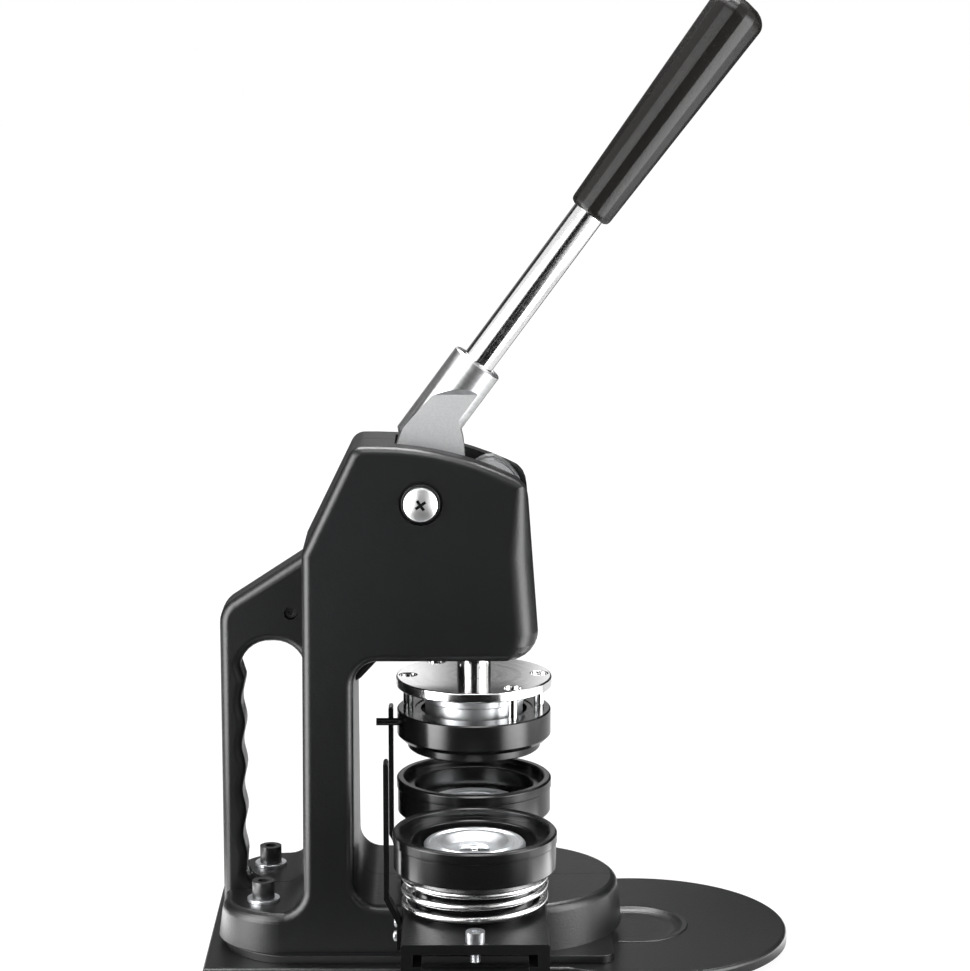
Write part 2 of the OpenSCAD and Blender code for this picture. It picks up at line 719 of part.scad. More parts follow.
module lever_rod() {
    color("white") on_axis(socket_top - rod_depth)
        cylinder(d = rod_d, h = rod_depth + rod_bare + grip_length - 16);
}

// The grip: sixteen slim flats that widen upwards, with rounded ends.
module lever_grip() {
    sides = 16;
    top = grip_length - 9;
    color("#2b2a2b") on_axis(socket_top + rod_bare) difference() {
        hull() {
            flats(0, grip_d1 / 2 - 2, sides);
            flats(1, grip_d1 / 2 - 0.6, sides);
            flats(2.6, grip_d1 / 2, sides);
            flats(top, grip_d2 / 2, sides);
            flats(top + 2.6, grip_d2 / 2 - 0.7, sides);
            flats(top + 5, grip_d2 / 2 - 2.6, sides);
            flats(top + 7.4, grip_d2 / 2 - 6.4, sides);
            flats(grip_length - 0.2, grip_d2 / 2 - 11, sides);
        }
        translate([0, 0, -1]) cylinder(r = rod_d / 2 + fit, h = grip_length - 15);
    }
}

// One many-sided section of the grip.
module flats(z, r, sides) {
    translate([0, 0, z]) linear_extrude(0.2)
        polygon([for (i = [0:sides - 1]) let (a = 360 * (i + 0.5) / sides) [r * cos(a), r * sin(a)]]);
}

module socket_screw() {
    color("dimgray") on_axis(socket_top - 10) rotate([-90, 0, 0])
        translate([0, 0, rod_d / 2]) difference() {
            cylinder(r = 2.5, h = 4.2);
            translate([0, 0, 2]) cylinder(r = 1.4, h = 4, $fn = 6);
        }
}

// ---------------------------------------------------------------- ram and upper die

spigot_r = 6;
spigot_l = carrier_thick + hub_disc_h;

module ram() {
    color("white") difference() {
        union() {
            translate([0, 0, carrier_top]) cylinder(d = ram_d, h = cap_top - cap_thick - carrier_top);
            translate([0, 0, carrier_top - spigot_l]) cylinder(r = spigot_r, h = spigot_l + eps);
        }
        translate([0, 0, carrier_top - spigot_l - 1]) cylinder(r = 3.4, h = 19);
    }
}

module ram_cap() {
    color("silver") translate([0, 0, cap_top - cap_thick]) {
        cylinder(r = cap_r, h = cap_thick - 0.6);
        translate([0, 0, cap_thick - 0.6]) cylinder(r1 = cap_r, r2 = cap_r - 0.6, h = 0.6);
    }
}

// Repeats what is drawn at each guide screw.
module at_guides() {
    for (a = guide_angles) rotate([0, 0, a]) translate([guide_circle, 0, 0]) children();
}

module die_carrier() {
    color("white") difference() {
        translate([0, 0, carrier_bottom]) rotate_extrude() polygon([
            [0, 0], [carrier_d / 2 - 0.5, 0], [carrier_d / 2, 0.5], [carrier_d / 2, carrier_thick - 0.5],
            [carrier_d / 2 - 0.5, carrier_thick], [0, carrier_thick]]);
        translate([0, 0, carrier_bottom - 1]) cylinder(r = spigot_r, h = carrier_thick + 2);
        at_guides() {
            translate([0, 0, carrier_bottom - 1]) cylinder(r = guide_r + fit, h = carrier_thick + 2);
            translate([0, 0, carrier_top - head_pocket]) cylinder(r = 4.5, h = 10);
        }
    }
}

module punch_hub() {
    step = carrier_bottom - hub_disc_h;
    color("silver") difference() {
        rotate_extrude() polygon([
            [0, punch_bottom], [punch_r - 1, punch_bottom], [punch_r, punch_bottom + 1],
            [punch_r, step], [hub_disc_r - 0.6, step], [hub_disc_r, step + 0.6],
            [hub_disc_r, carrier_bottom], [0, carrier_bottom]]);
        translate([0, 0, step]) cylinder(r = spigot_r, h = 20);
        translate([0, 0, punch_bottom]) rotate([180, 0, 0]) sunk_hole(7, 3.4, 30);
    }
}

module punch_screw() {
    color("dimgray") translate([0, 0, punch_bottom]) rotate([180, 0, 0]) sunk_screw(7, 3.4, 30, 2.5);
}

module upper_ring() {
    r = upper_ring_d / 2;
    b = die_bore / 2;
    slot_h = 2 * pin_r + 0.8;
    color("#222325") difference() {
        rotate_extrude() polygon([
            [b, lip_bottom + 0.6], [b + 0.6, lip_bottom], [lip_r - 0.6, lip_bottom],
            [lip_r, lip_bottom + 0.6], [lip_r, upper_ring_bottom], [r - 2.4, upper_ring_bottom],
            [r, upper_ring_bottom + 2.4], [r, upper_ring_top - 0.6], [r - 0.6, upper_ring_top],
            [b, upper_ring_top]]);
        at_guides() translate([0, 0, upper_ring_top - 8]) cylinder(r = 2, h = 20);
        rotate([0, 0, pin_angle - selector_swing - 4]) rotate_extrude(angle = selector_swing + 8)
            translate([b - 3, pin_z - slot_h / 2]) square([20, slot_h]);
    }
}

module guide_screws() {
    seat = carrier_top - head_pocket + flat_fit;
    color("white") at_guides() {
        translate([0, 0, upper_ring_top]) cylinder(r = guide_r, h = seat - upper_ring_top);
        translate([0, 0, upper_ring_top - 8]) cylinder(r = 2, h = 8 + eps);
        translate([0, 0, seat]) difference() {
            cylinder(r = 4.2, h = 2.6);
            translate([0, 0, 1]) cylinder(r = 2, h = 3, $fn = 6);
        }
    }
}

module selector_sleeve() {
    color("#3a3b3d") difference() {
        translate([0, 0, pin_z - 6.5]) cylinder(r = sleeve_r, h = 10);
        translate([0, 0, pin_z - 10]) cylinder(r = sleeve_in, h = 20);
        pin_bar(sleeve_in - 2, sleeve_r + 2);
    }
}

// The radial part of the selector pin.
module pin_bar(r0, r1) {
    rotate([0, 0, pin_angle]) translate([r0, 0, pin_z]) rotate([0, 90, 0]) cylinder(r = pin_r, h = r1 - r0);
}

// The selector pin: a radial arm, a bend and a lever that points away from the dies. resize() with
// zeros keeps its size and makes it one closed mesh.
module selector_pin() {
    bend = upper_ring_d / 2 + 1.9;
    tip_x = -slide_w / 2 - 14.4;
    turn = pin_angle - 180;
    bend_r = 5;
    run = bend_r * tan(turn / 2);
    start = (bend - run) * [cos(pin_angle), sin(pin_angle)];
    centre = start + bend_r * [sin(pin_angle), -cos(pin_angle)];
    end = centre + [0, -bend_r];
    color("#19191a") resize([0, 0, 0]) {
        pin_bar(sleeve_in + 0.2, bend - run);
        translate([centre[0], centre[1], pin_z]) rotate([0, 0, 270])
            rotate_extrude(angle = turn, $fn = 240) translate([bend_r, 0]) circle(pin_r, $fn = 96);
        translate([end[0], end[1], pin_z]) rotate([0, -90, 0]) cylinder(r = pin_r, h = end[0] - tip_x);
    }
}

// ---------------------------------------------------------------- slide

rail_screw_places = [for (x = [-16, 16], y = [-34, 34]) [x, y]];
rail_screw_r = 2.5;
rail_screw_head = 4.6;

module slide_rail() {
    color("#55585c") difference() {
        union() {
            along_y(-rail_length / 2, rail_length / 2) {
                translate([-neck_w / 2 + flat_fit, pedestal_top])
                    square([neck_w - 2 * flat_fit, rail_top - pedestal_top]);
                translate([-cavity_w / 2 + flat_fit, rail_neck_top])
                    square([cavity_w - 2 * flat_fit, rail_top - rail_neck_top]);
            }
        }
        for (p = rail_screw_places) translate([p[0], p[1], rail_top])
            sunk_hole(rail_screw_head, rail_screw_r, rail_top - pedestal_top + 1);
    }
}

module rail_screws() {
    color("dimgray") for (p = rail_screw_places) translate([p[0], p[1], rail_top])
        sunk_screw(rail_screw_head, rail_screw_r, rail_top - pedestal_top + 10, 1.6);
}

module slide() {
    w = slide_w / 2;
    c = 0.8;
    color("#17181a") difference() {
        along_y(slide_y[0], slide_y[1]) difference() {
            polygon([[-w, slide_bottom + c], [-w + c, slide_bottom], [w - c, slide_bottom],
                     [w, slide_bottom + c], [w, slide_top - c], [w - c, slide_top],
                     [-w + c, slide_top], [-w, slide_top - c]]);
            translate([-cavity_w / 2, lips_top]) square([cavity_w, cavity_top - lips_top]);
            translate([-neck_w / 2, slide_bottom - 1]) square([neck_w, lip_h + 2]);
        }
        for (y = stations) translate([0, y, slide_bottom]) cylinder(r = 4, h = 30);
        for (y = [stop_front_y, stop_rear_y]) translate([0, y, slide_bottom]) cylinder(r = stop_r, h = 30);
        for (s = stations, y = arm_screw_y) translate([-w - 1, s + y, slide_bottom + 6.5])
            rotate([0, 90, 0]) cylinder(r = 1.3, h = 5.5);
    }
}

module stop_screws() {
    color("silver") for (y = [stop_front_y, stop_rear_y]) translate([0, y, slide_top])
        cap_screw(4.4, 5, stop_r, slide_top - lips_top - 1.2, 2.1);
}

// A shift arm: a foot on the slide's side and a narrow bar bent up past the dies.
module shift_arm(y, arm_y) {
    x = arm_x;
    h = arm_t / 2;
    side = -slide_w / 2;
    knee = slide_top + 10;
    foot = slide_top - 2;
    color("#26272a") translate([0, y, 0]) difference() {
        union() {
            along_y(arm_y - 4, arm_y + 4) polygon([
                [x - h, arm_top - 1], [x - h, knee - 0.6], [side - arm_t, foot - 0.6],
                [side - arm_t, slide_bottom + 1], [side, slide_bottom + 1], [side, foot],
                [x + h, knee], [x + h, arm_top - 1], [x + h - 0.6, arm_top], [x - h + 0.6, arm_top]]);
            translate([side - arm_t, arm_screw_y[0] - 5, slide_bottom + 1])
                cube([arm_t, arm_screw_y[1] - arm_screw_y[0] + 10, foot - slide_bottom - 1.4]);
        }
        for (q = arm_screw_y) translate([side - 5, q, slide_bottom + 6.5])
            rotate([0, 90, 0]) cylinder(r = 1.3, h = 10);
    }
}

module shift_arm_front() {
    shift_arm(stations[0], front_arm_y);
}

module shift_arm_rear() {
    shift_arm(stations[1], rear_arm_y);
}

module arm_screws() {
    color("silver") for (s = stations, q = arm_screw_y)
        translate([-slide_w / 2 - arm_t, s + q, slide_bottom + 6.5]) rotate([0, -90, 0]) {
            rotate_extrude() pan_outline(2.5, 2);
            translate([0, 0, -arm_t - 4]) cylinder(r = 1.3, h = arm_t + 4 + eps);
        }
}

// ---------------------------------------------------------------- lower dies

module guide_cup(y) {
    color("#1b1c1e") translate([0, y, 0]) difference() {
        union() {
            translate([0, 0, slide_top]) cylinder(r = cup_r, h = cup_top - cup_flange_t - slide_top);
            translate([0, 0, cup_top - cup_flange_t]) cylinder(r = die_bore / 2 - fit, h = cup_flange_t);
        }
        translate([0, 0, cup_top - cup_pocket]) cylinder(r = insert_r + fit, h = 20);
        translate([0, 0, slide_top - 1]) cylinder(r = 4, h = 40);
    }
}

module guide_cup_front() {
    guide_cup(stations[0]);
}

module guide_cup_rear() {
    guide_cup(stations[1]);
}

sunk_head_r = 7.5;
bowl_depth = 3.6;
front_screw_z = insert_front_top - bowl_depth - 0.6;

module die_insert_front() {
    low = cup_top - cup_pocket;
    top = insert_front_top;
    groove = insert_r - 4.1;
    color("silver") translate([0, stations[0], 0]) difference() {
        rotate_extrude() polygon([
            [0, low], [insert_r, low], [insert_r, top - 1], [insert_r - 1, top], [groove + 1.7, top],
            [groove + 1.2, top - 0.8], [groove - 1.2, top - 0.8], [groove - 1.7, top],
            [insert_r - 7.9, top], [12.5, top - bowl_depth + 0.5], [10.5, top - bowl_depth],
            [0, top - bowl_depth]]);
        translate([0, 0, front_screw_z]) sunk_hole(sunk_head_r, 4, 40);
    }
}

module die_insert_rear() {
    low = cup_top - cup_pocket;
    top = insert_rear_top;
    color("silver") translate([0, stations[1], 0]) difference() {
        rotate_extrude() polygon([
            [0, low], [insert_r, low], [insert_r, top - 0.8], [insert_r - 0.8, top], [insert_r - 3.9, top],
            [insert_r - 4.9, top - 1], [0, top - 1]]);
        translate([0, 0, top - 1]) sunk_hole(sunk_head_r, 4, 40);
    }
}

module insert_screws() {
    color("white") {
        translate([0, stations[0], front_screw_z])
            sunk_screw(sunk_head_r, 4, front_screw_z - rail_top - rest_gap, 2.6);
        translate([0, stations[1], insert_rear_top - 1])
            sunk_screw(sunk_head_r, 4, insert_rear_top - 1 - rail_top - rest_gap, 2.6);
    }
}

module lower_ring(y) {
    r = lower_ring_d / 2;
    b = die_bore / 2;
    ledge = die_rim - 4.2;
    seat = lip_r + 1.7;
    color("#1e1f21") translate([0, y, 0]) rotate_extrude() polygon([
        [cup_r + 2 * fit, ring_bottom], [r - 3, ring_bottom], [r, ring_bottom + 3],
        [r, die_rim - 5.2], [r + 0.45, die_rim - 4.8], [r + 0.45, die_rim - 0.8],
        [r - 0.35, die_rim], [seat + 0.6, die_rim], [seat, die_rim - 0.6], [seat, ledge],
        [b + 0.6, ledge], [b, ledge - 0.6], [b, ring_bottom + ring_lip_t],
        [cup_r + 2 * fit, ring_bottom + ring_lip_t]]);
}

module lower_ring_front() {
    lower_ring(stations[0]);
}

module lower_ring_rear() {
    lower_ring(stations[1]);
}

module die_spring(y) {
    color("white") translate([0, y, 0]) coil(slide_top, ring_bottom, spring_r, die_wire, 3, 24, 8);
}

module die_spring_front() {
    die_spring(stations[0]);
}

module die_spring_rear() {
    die_spring(stations[1]);
}

base_plate();
rubber_feet();
base_tray();
casting_near();
casting_far();
base_bolts();
base_washers();
base_screws();
handle_screw();
pivot_shaft();
pivot_bushings();
pivot_screws();
ram_bushing();
return_spring();
lever_hub();
lever_rod();
lever_grip();
socket_screw();
ram();
ram_cap();
die_carrier();
punch_hub();
punch_screw();
upper_ring();
guide_screws();
selector_sleeve();
selector_pin();
slide_rail();
rail_screws();
slide();
stop_screws();
shift_arm_front();
shift_arm_rear();
arm_screws();
guide_cup_front();
guide_cup_rear();
die_insert_front();
die_insert_rear();
insert_screws();
lower_ring_front();
lower_ring_rear();
die_spring_front();
die_spring_rear();
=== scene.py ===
# %% [markdown]
# # A button badge press
#
# This lesson finishes a hand-lever badge press that already exists as an engineering model. The
# model gives every piece its exact place and its moving joints. Blender adds what an engineering
# model leaves out: soft edges, real finishes, springs with round wire, a floor and studio light.
#
# The first cell loads the model. Each of its pieces is one mesh whose place is in its vertices,
# so nothing here has to be fitted or moved.

import json
import math

import bmesh
import bpy
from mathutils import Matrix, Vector


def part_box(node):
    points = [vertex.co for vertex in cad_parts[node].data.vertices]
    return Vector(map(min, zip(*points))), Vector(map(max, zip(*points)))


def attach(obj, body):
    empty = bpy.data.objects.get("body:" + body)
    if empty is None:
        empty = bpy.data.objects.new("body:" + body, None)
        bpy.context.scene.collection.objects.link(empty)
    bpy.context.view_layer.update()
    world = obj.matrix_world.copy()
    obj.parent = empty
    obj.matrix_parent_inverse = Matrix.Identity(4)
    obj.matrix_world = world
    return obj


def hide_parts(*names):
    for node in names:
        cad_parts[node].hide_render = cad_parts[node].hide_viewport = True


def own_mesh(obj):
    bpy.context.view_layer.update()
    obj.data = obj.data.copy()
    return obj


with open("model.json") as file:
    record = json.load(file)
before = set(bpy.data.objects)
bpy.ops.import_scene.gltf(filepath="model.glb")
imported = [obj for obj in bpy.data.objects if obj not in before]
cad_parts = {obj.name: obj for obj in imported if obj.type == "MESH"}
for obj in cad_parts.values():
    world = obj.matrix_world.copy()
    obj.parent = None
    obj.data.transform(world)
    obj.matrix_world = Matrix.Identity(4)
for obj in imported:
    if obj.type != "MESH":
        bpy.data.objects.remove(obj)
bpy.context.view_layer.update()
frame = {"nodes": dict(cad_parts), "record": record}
scene = bpy.context.scene
record = frame["record"]
body_of_node = {node: body for body, group in record["behaviour"]["bodies"].items()
                for node in group}
slot_of_node = {row["node"]: row["material_slot"] for row in record["subparts"]}

# %% Sizes that several cells share
MM = 0.001
STATION_PITCH = 92.6 * MM            # from the rear die station to the front one
PIVOT = Vector((-25.7, 0, 231.5)) * MM
LEVER_TILT = math.radians(53.6)
LEVER_OFFSET = 16 * MM               # from the pivot to the lever's own axis
AXIS = Vector((math.cos(LEVER_TILT), 0, math.sin(LEVER_TILT)))
ACROSS = Vector((-math.sin(LEVER_TILT), 0, math.cos(LEVER_TILT)))
SOCKET_TOP = 68.8 * MM
CHEEK = 9.75 * MM                    # half of the lever's milled thickness
CHEEK_TOP = 281.5                    # height in millimetres where the milled cheeks end
SAME_POINT = 2e-6                    # corners of the model's triangles that are nearer are one


def on_lever(along):
    """The point on the lever's axis at a distance along it from the pivot."""
    return PIVOT + AXIS * along + ACROSS * LEVER_OFFSET


print("lever axis:", tuple(round(value, 3) for value in AXIS))

# %% [markdown]
# ## Camera
#
# A product is usually shot with a long lens from a little above, which keeps upright edges nearly
# parallel. The camera stands 1.4 m in front of the press and looks 10 degrees down. Its lens is
# long enough for the press to fill the frame.

# %% Camera
SENSOR = 36                          # width in millimetres
LENS_PER_WIDTH = 2900 / 970          # focal length as a share of the picture's width
LOOKS_DOWN = 10.4                    # degrees
camera_data = bpy.data.cameras.new("camera")
camera_data.sensor_fit = "HORIZONTAL"
camera_data.sensor_width = SENSOR
camera_data.lens = LENS_PER_WIDTH * SENSOR
camera = bpy.data.objects.new("camera", camera_data)
scene.collection.objects.link(camera)
camera.location = (-5.7 * MM, -1.4, 492 * MM)
camera.rotation_euler = (math.radians(90 - LOOKS_DOWN), 0, math.radians(-0.46))
scene.camera = camera
print("lens:", round(camera_data.lens, 1), "mm")

# %% [markdown]
# ## Node graphs from Python
#
# Materials and Geometry Nodes are both trees of nodes. Writing each node by hand is long, so two
# small classes do it. A `Value` wraps one socket and understands + - * / and powers, so shader
# maths reads like ordinary maths. A `Graph` adds any other node: its type, its settings, then the
# values or links of its sockets.

# %% Value and Graph
class Value:
    """A node's output that can be used in sums."""

    def __init__(self, graph, socket):
        self.graph, self.socket = graph, socket

    def out(self, name):
        """Another output of the same node."""
        return Value(self.graph, self.socket.node.outputs[name])

    def maths(self, operation, *terms):
        return self.graph.add("ShaderNodeMath", {"operation": operation}, dict(enumerate(terms)))

    def __add__(self, other):
        return self.maths("ADD", self, other)

    def __radd__(self, other):
        return self.maths("ADD", other, self)

    def __sub__(self, other):
        return self.maths("SUBTRACT", self, other)

    def __rsub__(self, other):
        return self.maths("SUBTRACT", other, self)

    def __mul__(self, other):
        return self.maths("MULTIPLY", self, other)

    def __rmul__(self, other):
        return self.maths("MULTIPLY", other, self)

    def __truediv__(self, other):
        return self.maths("DIVIDE", self, other)

    def __pow__(self, other):
        return self.maths("POWER", self, other)

    def __abs__(self):
        return self.maths("ABSOLUTE", self)

    def __lt__(self, other):
        return self.maths("LESS_THAN", self, other)

    def __gt__(self, other):
        return self.maths("GREATER_THAN", self, other)

    def ramp(self, low, high, start=0.0, end=1.0):
        """start below low, end above high, with a soft step between."""
        return self.graph.add("ShaderNodeMapRange", {"interpolation_type": "SMOOTHSTEP"},
                              {0: self, 1: low, 2: high, 3: start, 4: end})


class Graph:
    """A node tree that is drawn up from Python."""

    def __init__(self, tree):
        self.tree = tree
        tree.nodes.clear()

    def add(self, kind, settings=None, sockets=None, output=0):
        node = self.tree.nodes.new(kind)
        for name, value in (settings or {}).items():
            setattr(node, name, value)
        for name, value in (sockets or {}).items():
            if isinstance(value, Value):
                self.tree.links.new(value.socket, node.inputs[name])
            else:
                node.inputs[name].default_value = value
        return Value(self, node.outputs[output]) if node.outputs else node

    def noise(self, vector, scale, detail=2.0):
        return self.add("ShaderNodeTexNoise", {},
                        {"Vector": vector, "Scale": scale, "Detail": detail})

    def join(self, x, y, z):
        return self.add("ShaderNodeCombineXYZ", {}, {0: x, 1: y, 2: z})

    def mix_colours(self, factor, first, second):
        return self.add("ShaderNodeMix", {"data_type": "RGBA"},
                        {0: factor, 6: first, 7: second}, output=2)

    def bump(self, height, depth, strength=1.0, normal=None):
        sockets = {"Height": height, "Distance": depth, "Strength": strength}
        if normal:
            sockets["Normal"] = normal
        return self.add("ShaderNodeBump", {}, sockets)


def grey(level, tint=0.0):
    """A grey with a slight cool tint."""
    return (level * (1 - tint), level, level * (1 + tint), 1)


print("graph helpers ready")

# %% [markdown]
# ## Floor, backdrop and light
#
# The press stands on a white sweep. The floor is seen by the camera as nearly white, yet it still
# takes a soft shadow. Black paint and chrome have almost no colour of their own: they show the
# room. So the room is built for them. It is white all round. Black cards in front and on the floor
# keep the painted sides deep, and grey ones behind and at both sides give chrome its dark edges.
# Bright cloths beside the dies, on the floor, above and behind draw the long soft highlights.

# %% Room
def stage_plane(name, centre, size, facing, material):
    """A flat card of the studio, turned towards a point."""
    mesh = bpy.data.meshes.new(name)
    x, y = size[0] / 2, size[1] / 2
    mesh.from_pydata([(-x, -y, 0), (x, -y, 0), (x, y, 0), (-x, y, 0)], [], [(0, 1, 2, 3)])
    mesh.materials.append(material)
    card = bpy.data.objects.new(name, mesh)
    card.location = centre
    if facing is not None:
        card.rotation_euler = (Vector(facing) - Vector(centre)).to_track_quat("Z", "Y").to_euler()
    scene.collection.objects.link(card)
    return card


def room_light(name, centre, size, power, serves, target=(0, 0, 0.2)):
    """An area lamp that looks at the press. It serves either the plain light on colours, or the
    highlights on gloss, so that both can be set by themselves."""
    lamp = bpy.data.lights.new(name, "AREA")
    lamp.shape = "RECTANGLE"
    lamp.size, lamp.size_y = size
    lamp.energy = power
    holder = bpy.data.objects.new(name, lamp)
    holder.location = centre
    holder.rotation_euler = (Vector(target) - Vector(centre)).to_track_quat("-Z", "Y").to_euler()
    holder.visible_glossy = serves == "gloss"
    holder.visible_diffuse = serves == "colour"
    holder.visible_camera = False
    scene.collection.objects.link(holder)
    return holder


world = bpy.data.worlds.new("studio")
world.use_nodes = True
scene.world = world
room = Graph(world.node_tree)
path = room.add("ShaderNodeLightPath", output="Is Camera Ray")
seen = path.maths("MAXIMUM", path, path.out("Is Transmission Ray"))
gloss = path.out("Is Glossy Ray")
direction = room.add("ShaderNodeTexCoord", output="Generated")
sky_height = room.add("ShaderNodeSeparateXYZ", {}, {0: direction}, output="Z")
in_gloss = sky_height.ramp(0.45, 0.95, 0.95, 0.3)    # reflections see white low down, grey above
room_level = seen + (1 - seen) * (gloss * in_gloss + (1 - gloss) * 0.5)
backdrop = room.add("ShaderNodeBackground", {}, {"Color": (1, 1, 1, 1), "Strength": room_level})
room.add("ShaderNodeOutputWorld", {}, {"Surface": backdrop})

floor_paint = bpy.data.materials.new("floor_paper")
floor_paint.use_nodes = True
paper = Graph(floor_paint.node_tree)
grain = paper.noise(paper.add("ShaderNodeTexCoord", output="Object"), 60)
paper_colour = paper.mix_colours(grain.ramp(0.3, 0.7), (0.86, 0.86, 0.86, 1), (0.9, 0.9, 0.9, 1))
matte = paper.add("ShaderNodeBsdfDiffuse", {}, {"Color": paper_colour})
shine = paper.add("ShaderNodeEmission", {}, {"Strength": 1.17})
camera_share = paper.add("ShaderNodeLightPath", output="Is Camera Ray") * 0.8
surface = paper.add("ShaderNodeMixShader", {}, {0: camera_share, 1: matte, 2: shine})
paper.add("ShaderNodeOutputMaterial", {}, {"Surface": surface})
stage_plane("floor", (0, 0, -0.0002), (14, 14), None, floor_paint)


def glow(name, width, height, strength):
    """A bright cloth for a card of a width and height. It fades out towards the card's edges."""
    material = bpy.data.materials.new(name)
    material.use_nodes = True
    cloth = Graph(material.node_tree)
    place = cloth.add("ShaderNodeTexCoord", output="Object")
    x = cloth.add("ShaderNodeSeparateXYZ", {}, {0: place}, output="X")
    fade = abs(x).ramp(0.1 * width, 0.5 * width, 1.0, 0.0)
    fade = fade * abs(x.out("Y")).ramp(0.3 * height, 0.5 * height, 1.0, 0.0)
    shine = cloth.add("ShaderNodeEmission", {}, {"Strength": fade * strength})
    clear = cloth.add("ShaderNodeBsdfTransparent")
    veil = cloth.add("ShaderNodeMixShader", {}, {0: fade.ramp(0.0, 0.3), 1: clear, 2: shine})
    cloth.add("ShaderNodeOutputMaterial", {}, {"Surface": veil})
    return material


def felt(name, level, right_level=None):
    """A plain dark cloth, or one that goes to another grey from left to right."""
    material = bpy.data.materials.new(name)
    material.use_nodes = True
    cloth = Graph(material.node_tree)
    place = cloth.add("ShaderNodeTexCoord", output="Object")
    weave = cloth.noise(place, 40)
    colour = cloth.mix_colours(weave, grey(level), grey(level * 1.3))
    if right_level is not None:
        x = cloth.add("ShaderNodeSeparateXYZ", {}, {0: place}, output="X")
        colour = cloth.mix_colours(x.ramp(-0.35, 0.15), colour, grey(right_level))
    cloth.add("ShaderNodeOutputMaterial", {}, {
        "Surface": cloth.add("ShaderNodeEmission", {}, {"Color": colour})})
    return material


# Only reflections see the cards. Each row says what a card faces: the press, the dies, straight
# ahead along Y, or nothing where it lies on the floor.
AT_PRESS = (0, 0, 0.3)
AT_DIES = (0, -0.05, 0.16)
AHEAD = "ahead"
# Name, centre, width and height, what it faces, and the level of its felt, at both ends where
# there are two.
dark_cards = [
    ("front_card", (0.1, -2.6, 1.0), (1.9, 2.6), AT_PRESS, (0.008,)),
    ("floor_card", (0.02, -1.36, 0.002), (0.75, 2.4), None, (0.008,)),
    ("back_card", (0.6, 4.0, 1.55), (7.0, 3.3), AHEAD, (0.17, 0.06)),
    ("left_side_card", (-2.4, 1.9, 1.1), (1.7, 2.2), AT_PRESS, (0.02,)),
    ("right_side_card", (2.5, 1.9, 1.1), (1.7, 2.2), AT_PRESS, (0.02,)),
    ("back_floor_card", (0.6, 2.3, 0.002), (7.0, 3.4), None, (0.04,)),
]
# Name, centre, width and height, what it faces, and the strength of its cloth.
bright_cards = [
    ("plate_glow_left", (-0.14, 3.9, 1.09), (0.3, 0.4), AHEAD, 1.5),
    ("plate_glow_right", (0.2, 3.9, 1.09), (0.26, 0.4), AHEAD, 1.5),
    ("disc_glow", (0.16, 3.9, 1.45), (0.7, 0.3), AHEAD, 1.2),
    ("low_left_glow", (-0.21, -0.03, 0.003), (0.14, 0.24), None, 7.0),
    ("low_right_glow", (0.21, -0.03, 0.003), (0.14, 0.24), None, 6.0),
    ("left_glow", (-0.334, -0.185, 0.16), (0.44, 0.9), AT_DIES, 11.0),
    ("right_glow", (0.334, -0.185, 0.16), (0.42, 0.9), AT_DIES, 9.0),
    ("high_glow", (-0.6, -0.93, 0.72), (0.5, 0.7), (0.1, 0, 0.4), 7.0),
    ("edge_glow", (0.05, -0.36, 1.2), (0.9, 0.36), (0, 0, 0), 9.0),
    ("floor_glow", (0.62, 0.0, 0.003), (0.5, 0.7), None, 3.0),
]
rows = [(*row[:4], felt(row[0] + "_felt", *row[4])) for row in dark_cards]
rows += [(*row[:4], glow(row[0] + "_cloth", *row[2], row[4])) for row in bright_cards]
for name, centre, size, facing, cloth in rows:
    if facing == AHEAD:
        facing = (centre[0], 0, centre[2])
    card = stage_plane(name, centre, size, facing, cloth)
    card.visible_camera = False
    card.visible_shadow = False
    card.visible_diffuse = False

room_light("key", (-1.1, -1.9, 1.5), (1.2, 1.2), 20, "colour")
room_light("fill", (1.4, -1.5, 0.7), (1.0, 1.0), 8, "colour")
room_light("overhead", (0.1, 0.1, 1.9), (1.0, 1.0), 14, "colour")
room_light("top_strip", (0.0, 0.35, 1.15), (0.9, 0.5), 22, "gloss")
scene.view_settings.view_transform = "Standard"
print("stage ready")

# %% [markdown]
# ## Finishes
#
# Each finish is a material built from nodes, named like its slot in the record. They read Object
# coordinates, which stay with a piece when it moves. A real finish is never perfectly even: powder
# coat has a fine orange peel, turned steel has rings, drawn wire has lengthwise marks, and moulded
# plastic has a fine grain. Noise drives these, at the size that the real ones have.

# %% Places that patterns follow
def new_finish(name):
    """A material with an empty graph, and the object coordinates to draw its pattern from."""
    material = bpy.data.materials.new(name)
    material.use_nodes = True
    graph = Graph(material.node_tree)
    place = graph.add("ShaderNodeTexCoord", output="Object")
    return material, graph, place


def split(graph, place):
    x = graph.add("ShaderNodeSeparateXYZ", {}, {0: place}, output="X")
    return x, x.out("Y"), x.out("Z")


def around_die(graph, place):
    """Distance from the nearest die station's upright axis, and the height."""
    x, y, z = split(graph, place)
    y = y + STATION_PITCH * (y < -STATION_PITCH / 2)
    return (x * x + y * y) ** 0.5, z


def around_pivot(graph, place):
    """Distance from the pivot's axis, and the place along it."""
    x, y, z = split(graph, place)
    x, z = x - PIVOT.x, z - PIVOT.z
    return (x * x + z * z) ** 0.5, y


def along_lever(graph, place):
    """Distance along the lever's axis, and the place across the lever."""
    x, y, z = split(graph, place)
    return x * AXIS.x + z * AXIS.z, y


def close_finish(material, graph, **sockets):
    """Puts the principled shader and the output at the end of a finish."""
    names = {name.replace("_", " ").title(): value for name, value in sockets.items()}
    names = {{"Specular Ior Level": "Specular IOR Level"}.get(name, name): value
             for name, value in names.items()}
    shader = graph.add("ShaderNodeBsdfPrincipled", {}, names)
    graph.add("ShaderNodeOutputMaterial", {}, {"Surface": shader})
    return material


print("pattern helpers ready")

